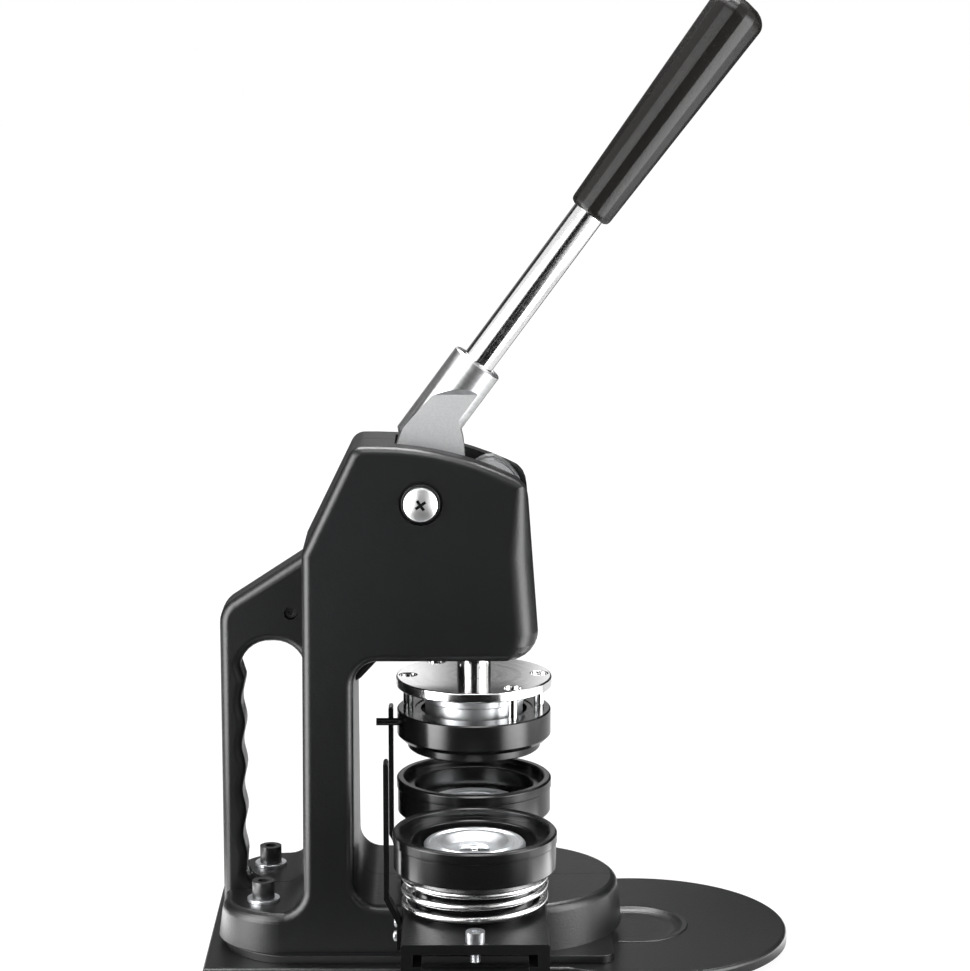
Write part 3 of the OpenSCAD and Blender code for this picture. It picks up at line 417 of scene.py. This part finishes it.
# %% Paints, plastics and rubber
def coated(name, level, rough, peel, grain, specular, coat=0.0, tint=0.04):
    """A black coating: broad tone changes, a fine orange peel and a finer grain."""
    material, graph, place = new_finish(name)
    broad = graph.noise(place, 9, 3)
    fine = graph.noise(place, 700, 2)
    grains = graph.noise(place, 2600, 1)
    colour = graph.mix_colours(broad.ramp(0.3, 0.7), grey(level * 0.88, tint),
                               grey(level * 1.14, tint))
    bumps = graph.bump(fine * peel + grains * grain, 0.0004, 0.5)
    return close_finish(material, graph, base_color=colour, normal=bumps,
                        roughness=rough + (broad - 0.5) * 0.06 + (fine - 0.5) * 0.08,
                        specular_ior_level=specular, coat_weight=coat, coat_roughness=0.25)


def turned(name, level, rough, metallic, centre, line=1500, depth=0.00006, tint=0.02, strength=0.2):
    """Metal or coated metal off a lathe: fine rings about an axis."""
    material, graph, place = new_finish(name)
    out, along = centre(graph, place)
    rings = graph.noise(graph.join(out * line, along * line, 0.0), 1, 3)
    broad = graph.noise(place, 40, 2)
    colour = graph.mix_colours(rings.ramp(0.25, 0.75), grey(level * 0.95, tint),
                               grey(min(level * 1.05, 0.92), tint))
    return close_finish(material, graph, base_color=colour, metallic=metallic,
                        roughness=rough + (rings - 0.5) * rough * 0.7 + (broad - 0.5) * 0.04,
                        normal=graph.bump(rings, depth, strength))


finishes = {
    "black_paint": coated("black_paint", 0.009, 0.31, 0.35, 0.15, 0.4),
    "black_oxide": turned("black_oxide", 0.007, 0.2, 0.0, around_die, depth=0.00001, strength=0.1),
    "black_slide": coated("black_slide", 0.008, 0.3, 0.5, 0.4, 0.28),
    "black_screw": coated("black_screw", 0.016, 0.3, 0.6, 0.3, 0.6),
    "grip_plastic": coated("grip_plastic", 0.012, 0.26, 0.3, 0.3, 0.28, tint=-0.08),
    "rubber": coated("rubber", 0.02, 0.75, 1.6, 1.2, 0.3),
    "polished": turned("polished", 0.86, 0.08, 1.0, around_die, line=900, depth=0.000004, tint=0.0),
    "satin_steel": turned("satin_steel", 0.84, 0.34, 1.0, around_die, line=2600, depth=0.00002,
                          strength=0.3),
    "zinc_screw": turned("zinc_screw", 0.84, 0.32, 1.0, around_pivot, line=2200, depth=0.00002),
    "bronze": turned("bronze", 0.42, 0.3, 1.0, around_die),
}
carrier_steel = turned("faced_steel", 0.84, 0.13, 1.0, around_die, line=1400, depth=0.000003,
                       tint=0.0, strength=0.15)
rod_chrome = turned("polished_rod", 0.86, 0.13, 1.0, along_lever, line=700, depth=0.000003,
                    tint=0.0, strength=0.1)
pivot_steel = turned("pivot_steel", 0.6, 0.28, 1.0, around_pivot)
pivot_black = turned("pivot_black", 0.012, 0.3, 0.0, around_pivot)
print("finishes:", len(finishes))

# %% [markdown]
# Two finishes need more. The lever's hub is blasted all over, then milled flat on both cheeks and
# turned bright on its socket, so one material holds both looks and a mask chooses by the place
# across the lever. Spring wire is drawn, so its marks run with the wire.

# %% Hub and wire
def hub_alloy():
    material, graph, place = new_finish("cast_alloy")
    along, across = along_lever(graph, place)
    z = split(graph, place)[2]
    flat = abs(across).ramp(CHEEK - 0.12 * MM, CHEEK - 0.04 * MM) * (z < (CHEEK_TOP + 0.1) * MM)
    blast = graph.noise(place, 1900, 2)
    rings = graph.noise(graph.join(along * 900, across * 60, 0.0), 1, 2)
    blasted = graph.mix_colours(blast.ramp(0.3, 0.7), grey(0.53, 0.01), grey(0.6, 0.01))
    bright = graph.mix_colours(rings.ramp(0.3, 0.7), grey(0.54, 0.01), grey(0.62, 0.01))
    height = blast * flat * 0.6 + rings * (1 - flat) * 0.1
    return close_finish(material, graph, base_color=graph.mix_colours(flat, bright, blasted),
                        metallic=1.0 - flat * 0.5,
                        roughness=0.3 + flat * 0.18 + (blast - 0.5) * 0.08,
                        normal=graph.bump(height, 0.00008, 0.5))


def drawn_wire():
    material, graph, place = new_finish("spring_wire")
    out, height = around_die(graph, place)
    marks = graph.noise(graph.join(out * 2600, height * 2600, 0.0), 1, 2)
    colour = graph.mix_colours(marks.ramp(0.3, 0.7), grey(0.7), grey(0.84))
    return close_finish(material, graph, base_color=colour, metallic=1.0,
                        roughness=0.24 + (marks - 0.5) * 0.06,
                        normal=graph.bump(marks, 0.000006, 0.15))


def pan_steel(tip, radius, dome, recess):
    """Turned screw steel with painted shade in its driver recess: the colour goes near black where
    a point lies inside the recess's reach and below the domed face."""
    material, graph, place = new_finish("pan_steel")
    out, along = around_pivot(graph, place)
    rings = graph.noise(graph.join(out * 7000, 0.0, 0.0), 1, 2)
    below = tip - out * out * (dome / radius ** 2) - abs(along)
    # Painted shade: this mask colours the inside of the driver recess near black, and a little
    # rougher.
    recess_painted_shade = (below > 0.25 * MM) * (out < recess)
    bright = graph.mix_colours(rings.ramp(0.3, 0.7), grey(0.78), grey(0.88))
    return close_finish(material, graph, base_color=graph.mix_colours(recess_painted_shade, bright, grey(0.02)),
                        metallic=1.0, roughness=0.34 + recess_painted_shade * 0.2,
                        normal=graph.bump(rings, 0.00005, 0.5))


finishes["cast_alloy"] = hub_alloy()
finishes["spring_wire"] = drawn_wire()
print("finishes:", sorted(finishes))

# %% [markdown]
# ## Cutters for cast and milled corners
#
# Some corners are rounder on the press than in the engineering model. A cutter is a closed solid
# drawn through rings of points, and a Boolean takes it off the finished copy. The head's front
# corners have a large radius, the pedestal's rear corners a larger one, the parts dish has a rolled
# edge, the lever's milled cheeks end in a sloped run-out, and the cam's nose is round and grooved.
# This cell's sizes are in millimetres.

# %% Cutters
HEAD_LEAN = 25.5 / 222               # how fast the casting's sides lean in with the height
NOSE_CENTRE = (18.2, 167.7)          # the head's lower front rounding, in X and Z
NOSE_RADIUS = 13
HEAD_FRONT = 31.2                    # X of the head's front where that rounding ends
FRONT_LEAN = 5 / 68                  # how fast the front leans back with the height
CORNER_RADII = (12.5, 6.5)           # of the head's front corners, low down and at the top
CORNER_NARROWS = (205, 237)          # heights between which the one becomes the other
PEDESTAL_REAR = -126.5
PEDESTAL_FOOT = 14                   # height where the pedestal stands on the tray
PEDESTAL_TOP, PEDESTAL_EDGE = 32.5, 4.5    # height, and radius of the top edge
DISH_X = 79                          # middle of the work disc's dish
OUTSIDE_X, OUTSIDE_Y = -150, 80      # beyond the press, where cutters end


def loft(name, rings):
    """A closed solid through rings of equally many points, given in millimetres."""
    count = len(rings[0])
    last = len(rings) - 1
    walls = [(a * count + i, a * count + (i + 1) % count,
              (a + 1) * count + (i + 1) % count, (a + 1) * count + i)
             for a in range(last) for i in range(count)]
    ends = [tuple(range(count)), tuple(range(last * count, (last + 1) * count))]
    mesh = bpy.data.meshes.new(name)
    mesh.from_pydata([Vector(point) * MM for ring in rings for point in ring], [], walls + ends)
    work = bmesh.new()
    work.from_mesh(mesh)
    bmesh.ops.recalc_face_normals(work, faces=work.faces)
    work.to_mesh(mesh)
    work.free()
    cutter = bpy.data.objects.new(name, mesh)
    scene.collection.objects.link(cutter)
    return cutter


def half_at(z):
    """Half of the casting's thickness at a height, in millimetres."""
    return 51.5 - HEAD_LEAN * (z - 36.5)


def quarter(centre, radius, first, steps=30):
    """Points of a quarter circle in X and Y, from an angle in degrees."""
    angles = [math.radians(first + 90 * i / steps) for i in range(steps + 1)]
    return [(centre[0] + radius * math.cos(a), centre[1] + radius * math.sin(a)) for a in angles]


def side_ring(plan, z, side):
    return [(x, y * side, z) for x, y in plan]


def head_corner(side):
    """What is taken off the head's vertical front corner on one side."""
    rings = []
    for z in (150, 154.7, 155.5, 157, 159, 162, 167.7, 180, 192, 205, 213, 221, 229, 237, 262):
        if z < NOSE_CENTRE[1]:
            reach = max(NOSE_RADIUS ** 2 - (NOSE_CENTRE[1] - z) ** 2, 0) ** 0.5
            front = NOSE_CENTRE[0] + reach
        else:
            front = HEAD_FRONT - (z - NOSE_CENTRE[1]) * FRONT_LEAN
        share = min(max((z - CORNER_NARROWS[0]) / (CORNER_NARROWS[1] - CORNER_NARROWS[0]), 0), 1)
        radius = CORNER_RADII[0] + share * (CORNER_RADII[1] - CORNER_RADII[0])
        face = half_at(z)
        plan = quarter((front - radius, face - radius), radius, 0)
        plan += [(front - radius, face + 8), (front + 8, face + 8), (front + 8, face - radius)]
        rings.append(side_ring(plan, z, side))
    return loft("head_corner", rings)


def pedestal_corner(side):
    """What is taken off the pedestal's rear corner on one side, with its rounded top edge."""
    radius, top, edge = 34, PEDESTAL_TOP, PEDESTAL_EDGE
    centre = (PEDESTAL_REAR + radius, half_at(PEDESTAL_FOOT) - radius)
    levels = [(4, 0.0)]
    for step in range(6):
        a = math.radians(15 * step)
        levels.append((top - edge * (1 - math.sin(a)), edge * (1 - math.cos(a))))
    levels.append((top + 3, edge))
    rings = []
    for z, inset in levels:
        plan = quarter(centre, radius - HEAD_LEAN * (z - PEDESTAL_FOOT) - inset + 0.1, 90)
        plan += [(OUTSIDE_X, centre[1]), (OUTSIDE_X, OUTSIDE_Y), (centre[0], OUTSIDE_Y)]
        rings.append(side_ring(plan, z, side))
    return loft("pedestal_corner", rings)


def tray_corner(side):
    """What is taken off the tray's rear corner on one side."""
    centre = (-87, 23)
    plan = quarter(centre, 36, 90)
    plan += [(OUTSIDE_X, centre[1]), (OUTSIDE_X, OUTSIDE_Y), (centre[0], OUTSIDE_Y)]
    return loft("tray_corner", [side_ring(plan, z, side) for z in (8, 18)])


def across(name, outline, low, high):
    """A cutter along Y with an outline in X and Z."""
    return loft(name, [[(x, y, z) for x, z in outline] for y in (low, high)])


def dish(centre):
    """A shallow round dish with a rolled edge."""
    profile = [(27.4, 12), (27.2, 10.9), (26.6, 10.6), (25.7, 10.0), (24.7, 9.3), (23.4, 8.7),
               (22, 8.2), (19.5, 7.8), (14, 7.65), (0.5, 7.6)]
    turns = [2 * math.pi * i / 72 for i in range(72)]
    return loft("dish", [[(centre + r * math.cos(a), r * math.sin(a), z) for a in turns]
                         for r, z in profile])


def cheek_run_out(side):
    """The slope where the milling cutter ran out of the lever's round socket."""
    section = [(9.75, CHEEK_TOP - 0.5), (15, CHEEK_TOP - 0.5),
               (15, CHEEK_TOP + 4.9), (9.75, CHEEK_TOP)]
    return loft("run_out", [[(x, y * side, z) for y, z in section] for x in (-60, 60)])


# Outlines in X and Z: the head's brow, the cam's nose with what lies around it, and its groove.
brow = [(HEAD_FRONT, NOSE_CENTRE[1]), (26.4, 232.5), (25.9, 235.4), (24.6, 238.2),
        (22.4, 240.7), (19.8, 243.4), (22, 265), (44, 265), (44, NOSE_CENTRE[1])]
nose_top = [(-4.28, 243), (0, 246), (3, 248), (6, 249.2), (9.8, 249.4), (13.8, 247.6),
            (17.7, 244.4), (21.7, 239.4), (24, 234), (25, 229)]
around_nose = [(38, 229), (38, 262), (-4.28, 262)]
groove = [(x - 1.5, z - 4.5) for x, z in nose_top[1:]] + around_nose[:2] + [(-1.5, 262)]
CUTS = {
    "casting_near": [across("brow", brow, -60, 1), head_corner(-1), pedestal_corner(-1)],
    "casting_far": [across("brow", brow, -1, 60), head_corner(1), pedestal_corner(1)],
    "base_plate": [dish(DISH_X)],
    "base_tray": [tray_corner(-1), tray_corner(1)],
    "lever_hub": [cheek_run_out(-1), cheek_run_out(1),
                  across("nose", nose_top + around_nose, -12, 12),
                  across("groove", groove, -3.2, 2.6)],
}
print("cutters:", sum(len(group) for group in CUTS.values()))

# %% [markdown]
# ## Pieces that keep the engineering shape
#
# Castings, plates, rings and levers already have their exact shape, but their mesh is loose
# triangles with hard shading. Each gets a finishing piece: the triangles are merged, flat faces
# are joined into one, sharp corners are broken with a small bevel, and normals are weighted so
# that flat faces stay flat and rounded ones run smoothly.

# %% Finishing helper
LOWERED = {"guide_screws": 1.3 * MM}  # heads that lie deeper in their pockets than in the model
TOP_LAYER = 0.1 * MM                 # what counts as such a head's top
FLAT_WITHIN = 0.6                    # degrees between triangles that become one face


def finished_copy(node, material, edge=0.0, smooth=40):
    """Replaces a model piece with a merged, bevelled and smoothly shaded one."""
    mesh = frame["nodes"][node].data.copy()
    mesh.materials.clear()
    mesh.materials.append(material)
    work = bmesh.new()
    work.from_mesh(mesh)
    bmesh.ops.remove_doubles(work, verts=work.verts, dist=SAME_POINT)
    top = max(vertex.co.z for vertex in work.verts)
    for vertex in work.verts:
        if vertex.co.z > top - TOP_LAYER:
            vertex.co.z -= LOWERED.get(node, 0)
    bmesh.ops.dissolve_limit(work, angle_limit=math.radians(FLAT_WITHIN), verts=work.verts,
                             edges=work.edges)
    for face in work.faces:
        face.smooth = True
        face.material_index = 0
    work.to_mesh(mesh)
    work.free()
    mesh.set_sharp_from_angle(angle=math.radians(smooth))
    piece = bpy.data.objects.new(node + "_finished", mesh)
    scene.collection.objects.link(piece)
    for cutter in CUTS.get(node, ()):
        cut = piece.modifiers.new("cut", "BOOLEAN")
        cut.operation, cut.solver, cut.object = "DIFFERENCE", "EXACT", cutter
    if edge:
        soften(piece, edge, smooth)
    normals = piece.modifiers.new("normals", "WEIGHTED_NORMAL")
    normals.keep_sharp = True
    return settle(piece, node)


def soften(piece, edge, smooth=40):
    """Breaks a piece's sharp corners with a small rounded bevel."""
    bevel = piece.modifiers.new("edges", "BEVEL")
    bevel.width = edge
    bevel.segments = 2
    bevel.limit_method = "ANGLE"
    bevel.angle_limit = math.radians(smooth)


def settle(piece, *nodes, rides=None):
    """Makes a piece a plain mesh, hides the model pieces that it stands for, and hangs it on the
    body of the piece that it rides on, or else of the first one it stands for.
    A piece that only adds to a model piece stands for none, and names that piece in rides."""
    graph = bpy.context.evaluated_depsgraph_get()
    mesh = bpy.data.meshes.new_from_object(piece.evaluated_get(graph),
                                           preserve_all_data_layers=True, depsgraph=graph)
    piece.modifiers.clear()
    piece.data = mesh
    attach(piece, body_of_node[rides or nodes[0]])
    if nodes:
        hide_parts(*nodes)
    return piece


print("finishing helper ready")

# %% Finish every piece that isn't made again below
MADE_AGAIN = {"return_spring", "die_spring_front", "die_spring_rear", "lever_grip",
              "base_bolts", "pivot_screws", "stop_screws", "arm_screws"}
# Width of the broken edges in millimetres, where it isn't the plain one.
PLAIN_EDGE = 0.12
EDGES = {"casting_near": 0.35, "casting_far": 0.35, "base_tray": 0.5, "slide": 0.35,
         "lever_hub": 0.4, "shift_arm_front": 0.25, "shift_arm_rear": 0.25, "slide_rail": 0.2,
         "rubber_feet": 0.6, "die_carrier": 0.25}
SPECIAL = {"die_carrier": carrier_steel, "lever_rod": rod_chrome, "pivot_shaft": pivot_steel,
           "pivot_bushings": pivot_black}
for node, slot in slot_of_node.items():
    if node not in MADE_AGAIN:
        finish = SPECIAL.get(node, finishes[slot])
        piece = finished_copy(node, finish, EDGES.get(node, PLAIN_EDGE) * MM)
        print(piece.name, len(piece.data.polygons))
for cutter in [cutter for group in CUTS.values() for cutter in group]:
    bpy.data.objects.remove(cutter)

# %% [markdown]
# ## Springs
#
# A compression spring is a wire that climbs in a helix, with its end turns lying almost flat. The
# helix is a rule, so Geometry Nodes draw it: a straight line is cut into many points, each point is
# turned about the axis and lifted by its share of the length, and a circle is swept along it. The
# three springs use one tree with different sizes.

# %% Coil tree
def new_tree(name, inputs):
    """A Geometry Nodes tree with named inputs, first the points, and one geometry output."""
    tree = bpy.data.node_groups.new(name, "GeometryNodeTree")
    tree.interface.new_socket("Geometry", in_out="OUTPUT", socket_type="NodeSocketGeometry")
    for label, kind in [("Places", "NodeSocketGeometry")] + inputs:
        tree.interface.new_socket(label, in_out="INPUT", socket_type=kind)
    graph = Graph(tree)
    group = graph.add("NodeGroupInput")
    return tree, graph, group


def close_tree(graph, group, geometry):
    """Ends a tree: real geometry, its material, and the output."""
    real = graph.add("GeometryNodeRealizeInstances", {}, {0: geometry})
    painted = graph.add("GeometryNodeSetMaterial", {},
                        {"Geometry": real, "Material": group.out("Material")})
    graph.add("NodeGroupOutput", {}, {0: painted})


def grow(name, tree, values, *nodes, points=(), edge=0.0, smooth=40, rides=None):
    """Runs a tree on an empty mesh, or on points, and settles its result as one plain piece."""
    mesh = bpy.data.meshes.new(name)
    if points:
        places, ways = zip(*points)
        mesh.from_pydata(places, [], [])
        facing = mesh.attributes.new("facing", "FLOAT_VECTOR", "POINT")
        facing.data.foreach_set("vector", [value for way in ways for value in way])
    piece = bpy.data.objects.new(name, mesh)
    scene.collection.objects.link(piece)
    modifier = piece.modifiers.new(tree.name, "NODES")
    modifier.node_group = tree
    for item in tree.interface.items_tree:
        if item.in_out == "INPUT" and item.name in values:
            modifier[item.identifier] = values[item.name]
    if edge:
        soften(piece, edge, smooth)
    settle(piece, *nodes, rides=rides)
    piece.data.shade_smooth()
    piece.data.set_sharp_from_angle(angle=math.radians(smooth))
    print(name, "polygons:", len(piece.data.polygons))
    return piece


FLOAT, INTEGER, VECTOR = "NodeSocketFloat", "NodeSocketInt", "NodeSocketVector"
MATERIAL = "NodeSocketMaterial"
coil_tree, coil, sizes = new_tree("coil_spring", [
    ("Bottom", FLOAT), ("Top", FLOAT), ("Radius", FLOAT), ("Wire", FLOAT), ("Turns", FLOAT),
    ("Centre Y", FLOAT), ("Material", MATERIAL)])
line = coil.add("GeometryNodeCurvePrimitiveLine", {}, {"Start": (0, 0, 0), "End": (0, 0, 1)})
dense = coil.add("GeometryNodeResampleCurve", {}, {"Curve": line, "Count": 260})
share = coil.add("GeometryNodeSplineParameter", output="Factor")
angle = share * sizes.out("Turns") * (2 * math.pi)
flat_end = 0.12                      # share of the wire at each end that doesn't climb
even = (share - flat_end) / (1 - 2 * flat_end)
rise = even.maths("MINIMUM", even.maths("MAXIMUM", even, 0.0), 1.0)
climb = sizes.out("Top") - sizes.out("Bottom") - sizes.out("Wire")
height = sizes.out("Bottom") + sizes.out("Wire") / 2 + rise * climb
spot = coil.join(angle.maths("COSINE", angle) * sizes.out("Radius"),
                 angle.maths("SINE", angle) * sizes.out("Radius") + sizes.out("Centre Y"), height)
helix = coil.add("GeometryNodeSetPosition", {}, {"Geometry": dense, "Position": spot})
wire = coil.add("GeometryNodeCurvePrimitiveCircle", {},
                {"Resolution": 16, "Radius": sizes.out("Wire") / 2})
tube = coil.add("GeometryNodeCurveToMesh", {},
                {"Curve": helix, "Profile Curve": wire, "Fill Caps": True})
close_tree(coil, sizes, coil.add("GeometryNodeSetShadeSmooth", {}, {0: tube}))

# %% Three springs
# Bottom, top, coil radius and wire thickness in millimetres, turns, Y of the axis
# in metres, the joint that presses the spring, and its shortest height in millimetres.
springs = {
    "return_spring": (170.5, 212.8, 10.6, 2.2, 4.75, 0.0, "ram_slide", 13.1),
    "die_spring_front": (51, 68, 33, 3.2, 3, -STATION_PITCH, "front_ring_sink", 10.0),
    "die_spring_rear": (51, 68, 33, 3.2, 3, 0.0, "rear_ring_sink", 10.0),
}
for node, (bottom, top, radius, gauge, turns, y, joint, pressed) in springs.items():
    coil_piece = grow(node + "_wire", coil_tree, {
        "Bottom": bottom * MM, "Top": top * MM, "Radius": radius * MM, "Wire": gauge * MM,
        "Turns": float(turns), "Centre Y": y, "Material": finishes["spring_wire"]}, node)
    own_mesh(coil_piece)

# %% [markdown]
# ## Grip
#
# The grip is moulded with sixteen slim flats that widen upwards, and rounded ends. One rule gives
# every section: a sixteen-sided outline whose radius depends on the place along the grip. The tree
# draws a line along the lever, sets its radius by that rule and sweeps the outline along it.

# %% Grip tree
GRIP_START = SOCKET_TOP + 89.8 * MM  # from the pivot along the lever
GRIP_LENGTH = 125.5 * MM
LOW_END, HIGH_END = 0.003, 0.0085    # how far the rounding of each end reaches along the grip
LOW_INSET = 0.0022                   # how much the lower end draws in
TOP_RADIUS = 0.12                    # share of the radius that is left at the top
SIDES = 16
grip_tree, grip, sizes = new_tree("faceted_grip", [
    ("Start", VECTOR), ("End", VECTOR), ("Low Radius", FLOAT), ("High Radius", FLOAT),
    ("Length", FLOAT), ("Sides", INTEGER), ("Material", MATERIAL)])
line = grip.add("GeometryNodeCurvePrimitiveLine", {},
                {"Start": sizes.out("Start"), "End": sizes.out("End")})
dense = grip.add("GeometryNodeResampleCurve", {}, {"Curve": line, "Count": 130})
share = grip.add("GeometryNodeSplineParameter", output="Factor")
along = share * sizes.out("Length")
straight = sizes.out("Low Radius") + share * (sizes.out("High Radius") - sizes.out("Low Radius"))
before_low = 1 - along / LOW_END
low_end = (1 - before_low.maths("MAXIMUM", before_low, 0.0) ** 2) ** 0.5
before_top = 1 - (sizes.out("Length") - along) / HIGH_END
high_end = (1 - before_top.maths("MAXIMUM", before_top, 0.0) ** 2) ** 0.5
radius = (straight - LOW_INSET * (1 - low_end)) * (TOP_RADIUS + (1 - TOP_RADIUS) * high_end)
outline = grip.add("GeometryNodeCurvePrimitiveCircle", {},
                   {"Resolution": sizes.out("Sides"), "Radius": 1.0})
outline = grip.add("GeometryNodeTransform", {},
                   {"Geometry": outline, "Rotation": (0, 0, math.pi / SIDES)})
swept = grip.add("GeometryNodeCurveToMesh", {}, {
    "Curve": dense, "Profile Curve": outline, "Scale": radius, "Fill Caps": True})
close_tree(grip, sizes, swept)
grip_piece = grow("lever_grip_flats", grip_tree, {
    "Start": on_lever(GRIP_START), "End": on_lever(GRIP_START + GRIP_LENGTH),
    "Low Radius": 11 * MM, "High Radius": 14.7 * MM, "Length": GRIP_LENGTH, "Sides": SIDES,
    "Material": finishes["grip_plastic"]},
    "lever_grip", edge=0.35 * MM, smooth=14)
print("grip box:", [tuple(round(v, 4) for v in corner) for corner in grip_piece.bound_box][::6])

# %% [markdown]
# ## Screws
#
# The press is held by four kinds of screw that show. Cap screws hold the castings and stop the
# slide, small domed ones hold the shift arms, and large domed ones with a cross recess close the
# pivot shaft. They all repeat, so one tree makes a head and sets a copy on each point, turned to
# face the way that the point says. The head is a cylinder whose top sinks towards its rim; a
# Boolean then cuts the driver's recess. Only the recess differs, so a Python function takes it.

# %% Head trees
def head_tree(name, recess):
    """A tree that sets a domed head with a recess on every point."""
    tree, graph, sizes = new_tree(name, [
        ("Radius", FLOAT), ("Height", FLOAT), ("Dome", FLOAT), ("Recess", FLOAT),
        ("Depth", FLOAT), ("Material", MATERIAL)])
    blank = graph.add("GeometryNodeMeshCylinder", {"fill_type": "TRIANGLE_FAN"}, {
        "Vertices": 48, "Side Segments": 1, "Fill Segments": 10,
        "Radius": sizes.out("Radius"), "Depth": sizes.out("Height")})
    place = graph.add("GeometryNodeInputPosition")
    x = graph.add("ShaderNodeSeparateXYZ", {}, {0: place}, output="X")
    y, z = x.out("Y"), x.out("Z")
    out = (x * x + y * y) / (sizes.out("Radius") * sizes.out("Radius"))
    sink = (z > 0.0) * out * sizes.out("Dome") * -1
    seated = graph.add("GeometryNodeSetPosition", {}, {
        "Geometry": blank, "Offset": graph.join(0.0, 0.0, sizes.out("Height") / 2 + sink)})
    cutter = graph.add("GeometryNodeTransform", {}, {
        "Geometry": recess(graph, sizes), "Translation": graph.join(0.0, 0.0, sizes.out("Height"))})
    cut = graph.add("GeometryNodeMeshBoolean", {"operation": "DIFFERENCE", "solver": "EXACT"}, {
        "Mesh 1": seated, "Mesh 2": cutter, "Self Intersection": True})
    facing = graph.add("GeometryNodeInputNamedAttribute", {"data_type": "FLOAT_VECTOR"},
                       {"Name": "facing"})
    turn = graph.add("FunctionNodeAlignRotationToVector", {"axis": "Z"}, {"Vector": facing})
    copies = graph.add("GeometryNodeInstanceOnPoints", {}, {
        "Points": sizes.out("Places"), "Instance": cut, "Rotation": turn})
    close_tree(graph, sizes, copies)
    return tree


def hexagon(graph, sizes):
    return graph.add("GeometryNodeMeshCylinder", {}, {
        "Vertices": 6, "Radius": sizes.out("Recess"), "Depth": sizes.out("Depth") * 2})


def cross(graph, sizes):
    """Two bars at a right angle, turned as a screw happens to stop."""
    arms = graph.add("GeometryNodeJoinGeometry")
    for turn in (0.6, 0.6 + math.pi / 2):
        bar = graph.add("GeometryNodeMeshCube", {}, {
            "Size": graph.join(sizes.out("Recess") * 2, sizes.out("Recess") * 0.5,
                               sizes.out("Depth") * 2)})
        laid = graph.add("GeometryNodeTransform", {}, {"Geometry": bar, "Rotation": (0, 0, turn)})
        graph.tree.links.new(laid.socket, arms.socket.node.inputs[0])
    return arms


hex_heads = head_tree("hexagon_socket_heads", hexagon)
cross_heads = head_tree("cross_recess_heads", cross)
print("head trees ready")

# %% Set the heads
def facing_points(node, direction):
    """The seats of a model piece's screws: one point for each separate solid, facing one way or,
    where direction is None, outwards along Y."""
    mesh = frame["nodes"][node].data
    work = bmesh.new()
    work.from_mesh(mesh)
    bmesh.ops.remove_doubles(work, verts=work.verts, dist=SAME_POINT)
    left, seats = set(work.verts), []
    while left:
        group, edge_of_group = set(), [left.pop()]
        while edge_of_group:
            vertex = edge_of_group.pop()
            group.add(vertex)
            for edge in vertex.link_edges:
                other = edge.other_vert(vertex)
                if other in left:
                    left.discard(other)
                    edge_of_group.append(other)
        low = Vector([min(v.co[i] for v in group) for i in range(3)])
        high = Vector([max(v.co[i] for v in group) for i in range(3)])
        way = Vector(direction) if direction else Vector((0, math.copysign(1, low.y + high.y), 0))
        middle = (low + high) / 2
        reach = Vector([abs(way[i]) * (high[i] - low[i]) / 2 for i in range(3)])
        seats.append((middle, way, middle + Vector([way[i] * reach[i] for i in range(3)])))
    work.free()
    return seats


# Tree, radius, height, dome, reach and depth of the recess, all in millimetres, then the way that
# the head faces, the width of its broken edges, and its finish.
heads = {
    "base_bolts": (hex_heads, 5.5, 8.6, 0.0, 3.0, 5.0, (0, 0, 1), 0.45, finishes["black_screw"]),
    "stop_screws": (hex_heads, 4.4, 5.0, 0.0, 2.1, 3.0, (0, 0, 1), 0.4, finishes["zinc_screw"]),
    "arm_screws": (hex_heads, 2.5, 2.0, 0.8, 1.1, 1.0, (-1, 0, 0), 0.2, finishes["zinc_screw"]),
    "pivot_screws": (cross_heads, 8.2, 4.2, 1.9, 2.9, 1.8, None, 0.4,
                     pan_steel(34.7 * MM, 8.2 * MM, 1.9 * MM, 3.1 * MM)),
}
for node, (tree, radius, height, dome, recess, depth, direction, edge, finish) in heads.items():
    seats = [(tip - way * height * MM, way) for middle, way, tip in facing_points(node, direction)]
    grow(node + "_heads", tree, {
        "Radius": radius * MM, "Height": height * MM, "Dome": dome * MM, "Recess": recess * MM,
        "Depth": depth * MM, "Material": finish}, node, points=seats, edge=edge * MM)

# %% [markdown]
# The slide's stop screws also show part of their thread. A thread is the same sweep as the grip,
# but its radius goes up and down in a zigzag, once for each turn.

# %% Thread tree
THREAD_DEPTH = 0.55                  # as a share of the pitch
STOP_HEAD = 5 * MM                   # height of a stop screw's head
thread_tree, thread, sizes = new_tree("threaded_shank", [
    ("Start", VECTOR), ("Length", FLOAT), ("Radius", FLOAT), ("Pitch", FLOAT),
    ("Material", MATERIAL)])
line = thread.add("GeometryNodeCurvePrimitiveLine", {}, {
    "Start": (0, 0, 0), "End": thread.join(0.0, 0.0, sizes.out("Length") * -1)})
dense = thread.add("GeometryNodeResampleCurve", {}, {"Curve": line, "Count": 120})
share = thread.add("GeometryNodeSplineParameter", output="Factor")
turns = share * sizes.out("Length") / sizes.out("Pitch")
saw = abs(turns.maths("FRACT", turns) - 0.5) * 2
radius = sizes.out("Radius") - saw * sizes.out("Pitch") * THREAD_DEPTH
outline = thread.add("GeometryNodeCurvePrimitiveCircle", {}, {"Resolution": 32, "Radius": 1.0})
swept = thread.add("GeometryNodeCurveToMesh", {}, {
    "Curve": dense, "Profile Curve": outline, "Scale": radius, "Fill Caps": True})
moved = thread.add("GeometryNodeTransform", {},
                   {"Geometry": swept, "Translation": sizes.out("Start")})
close_tree(thread, sizes, moved)
for number, (middle, way, tip) in enumerate(facing_points("stop_screws", (0, 0, 1))):
    seat = tip - way * STOP_HEAD
    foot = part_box("stop_screws")[0].z
    grow(f"stop_screw_thread_{number}", thread_tree, {
        "Start": seat, "Length": seat.z - foot, "Radius": 2.45 * MM, "Pitch": 0.8 * MM,
        "Material": finishes["zinc_screw"]}, rides="stop_screws")
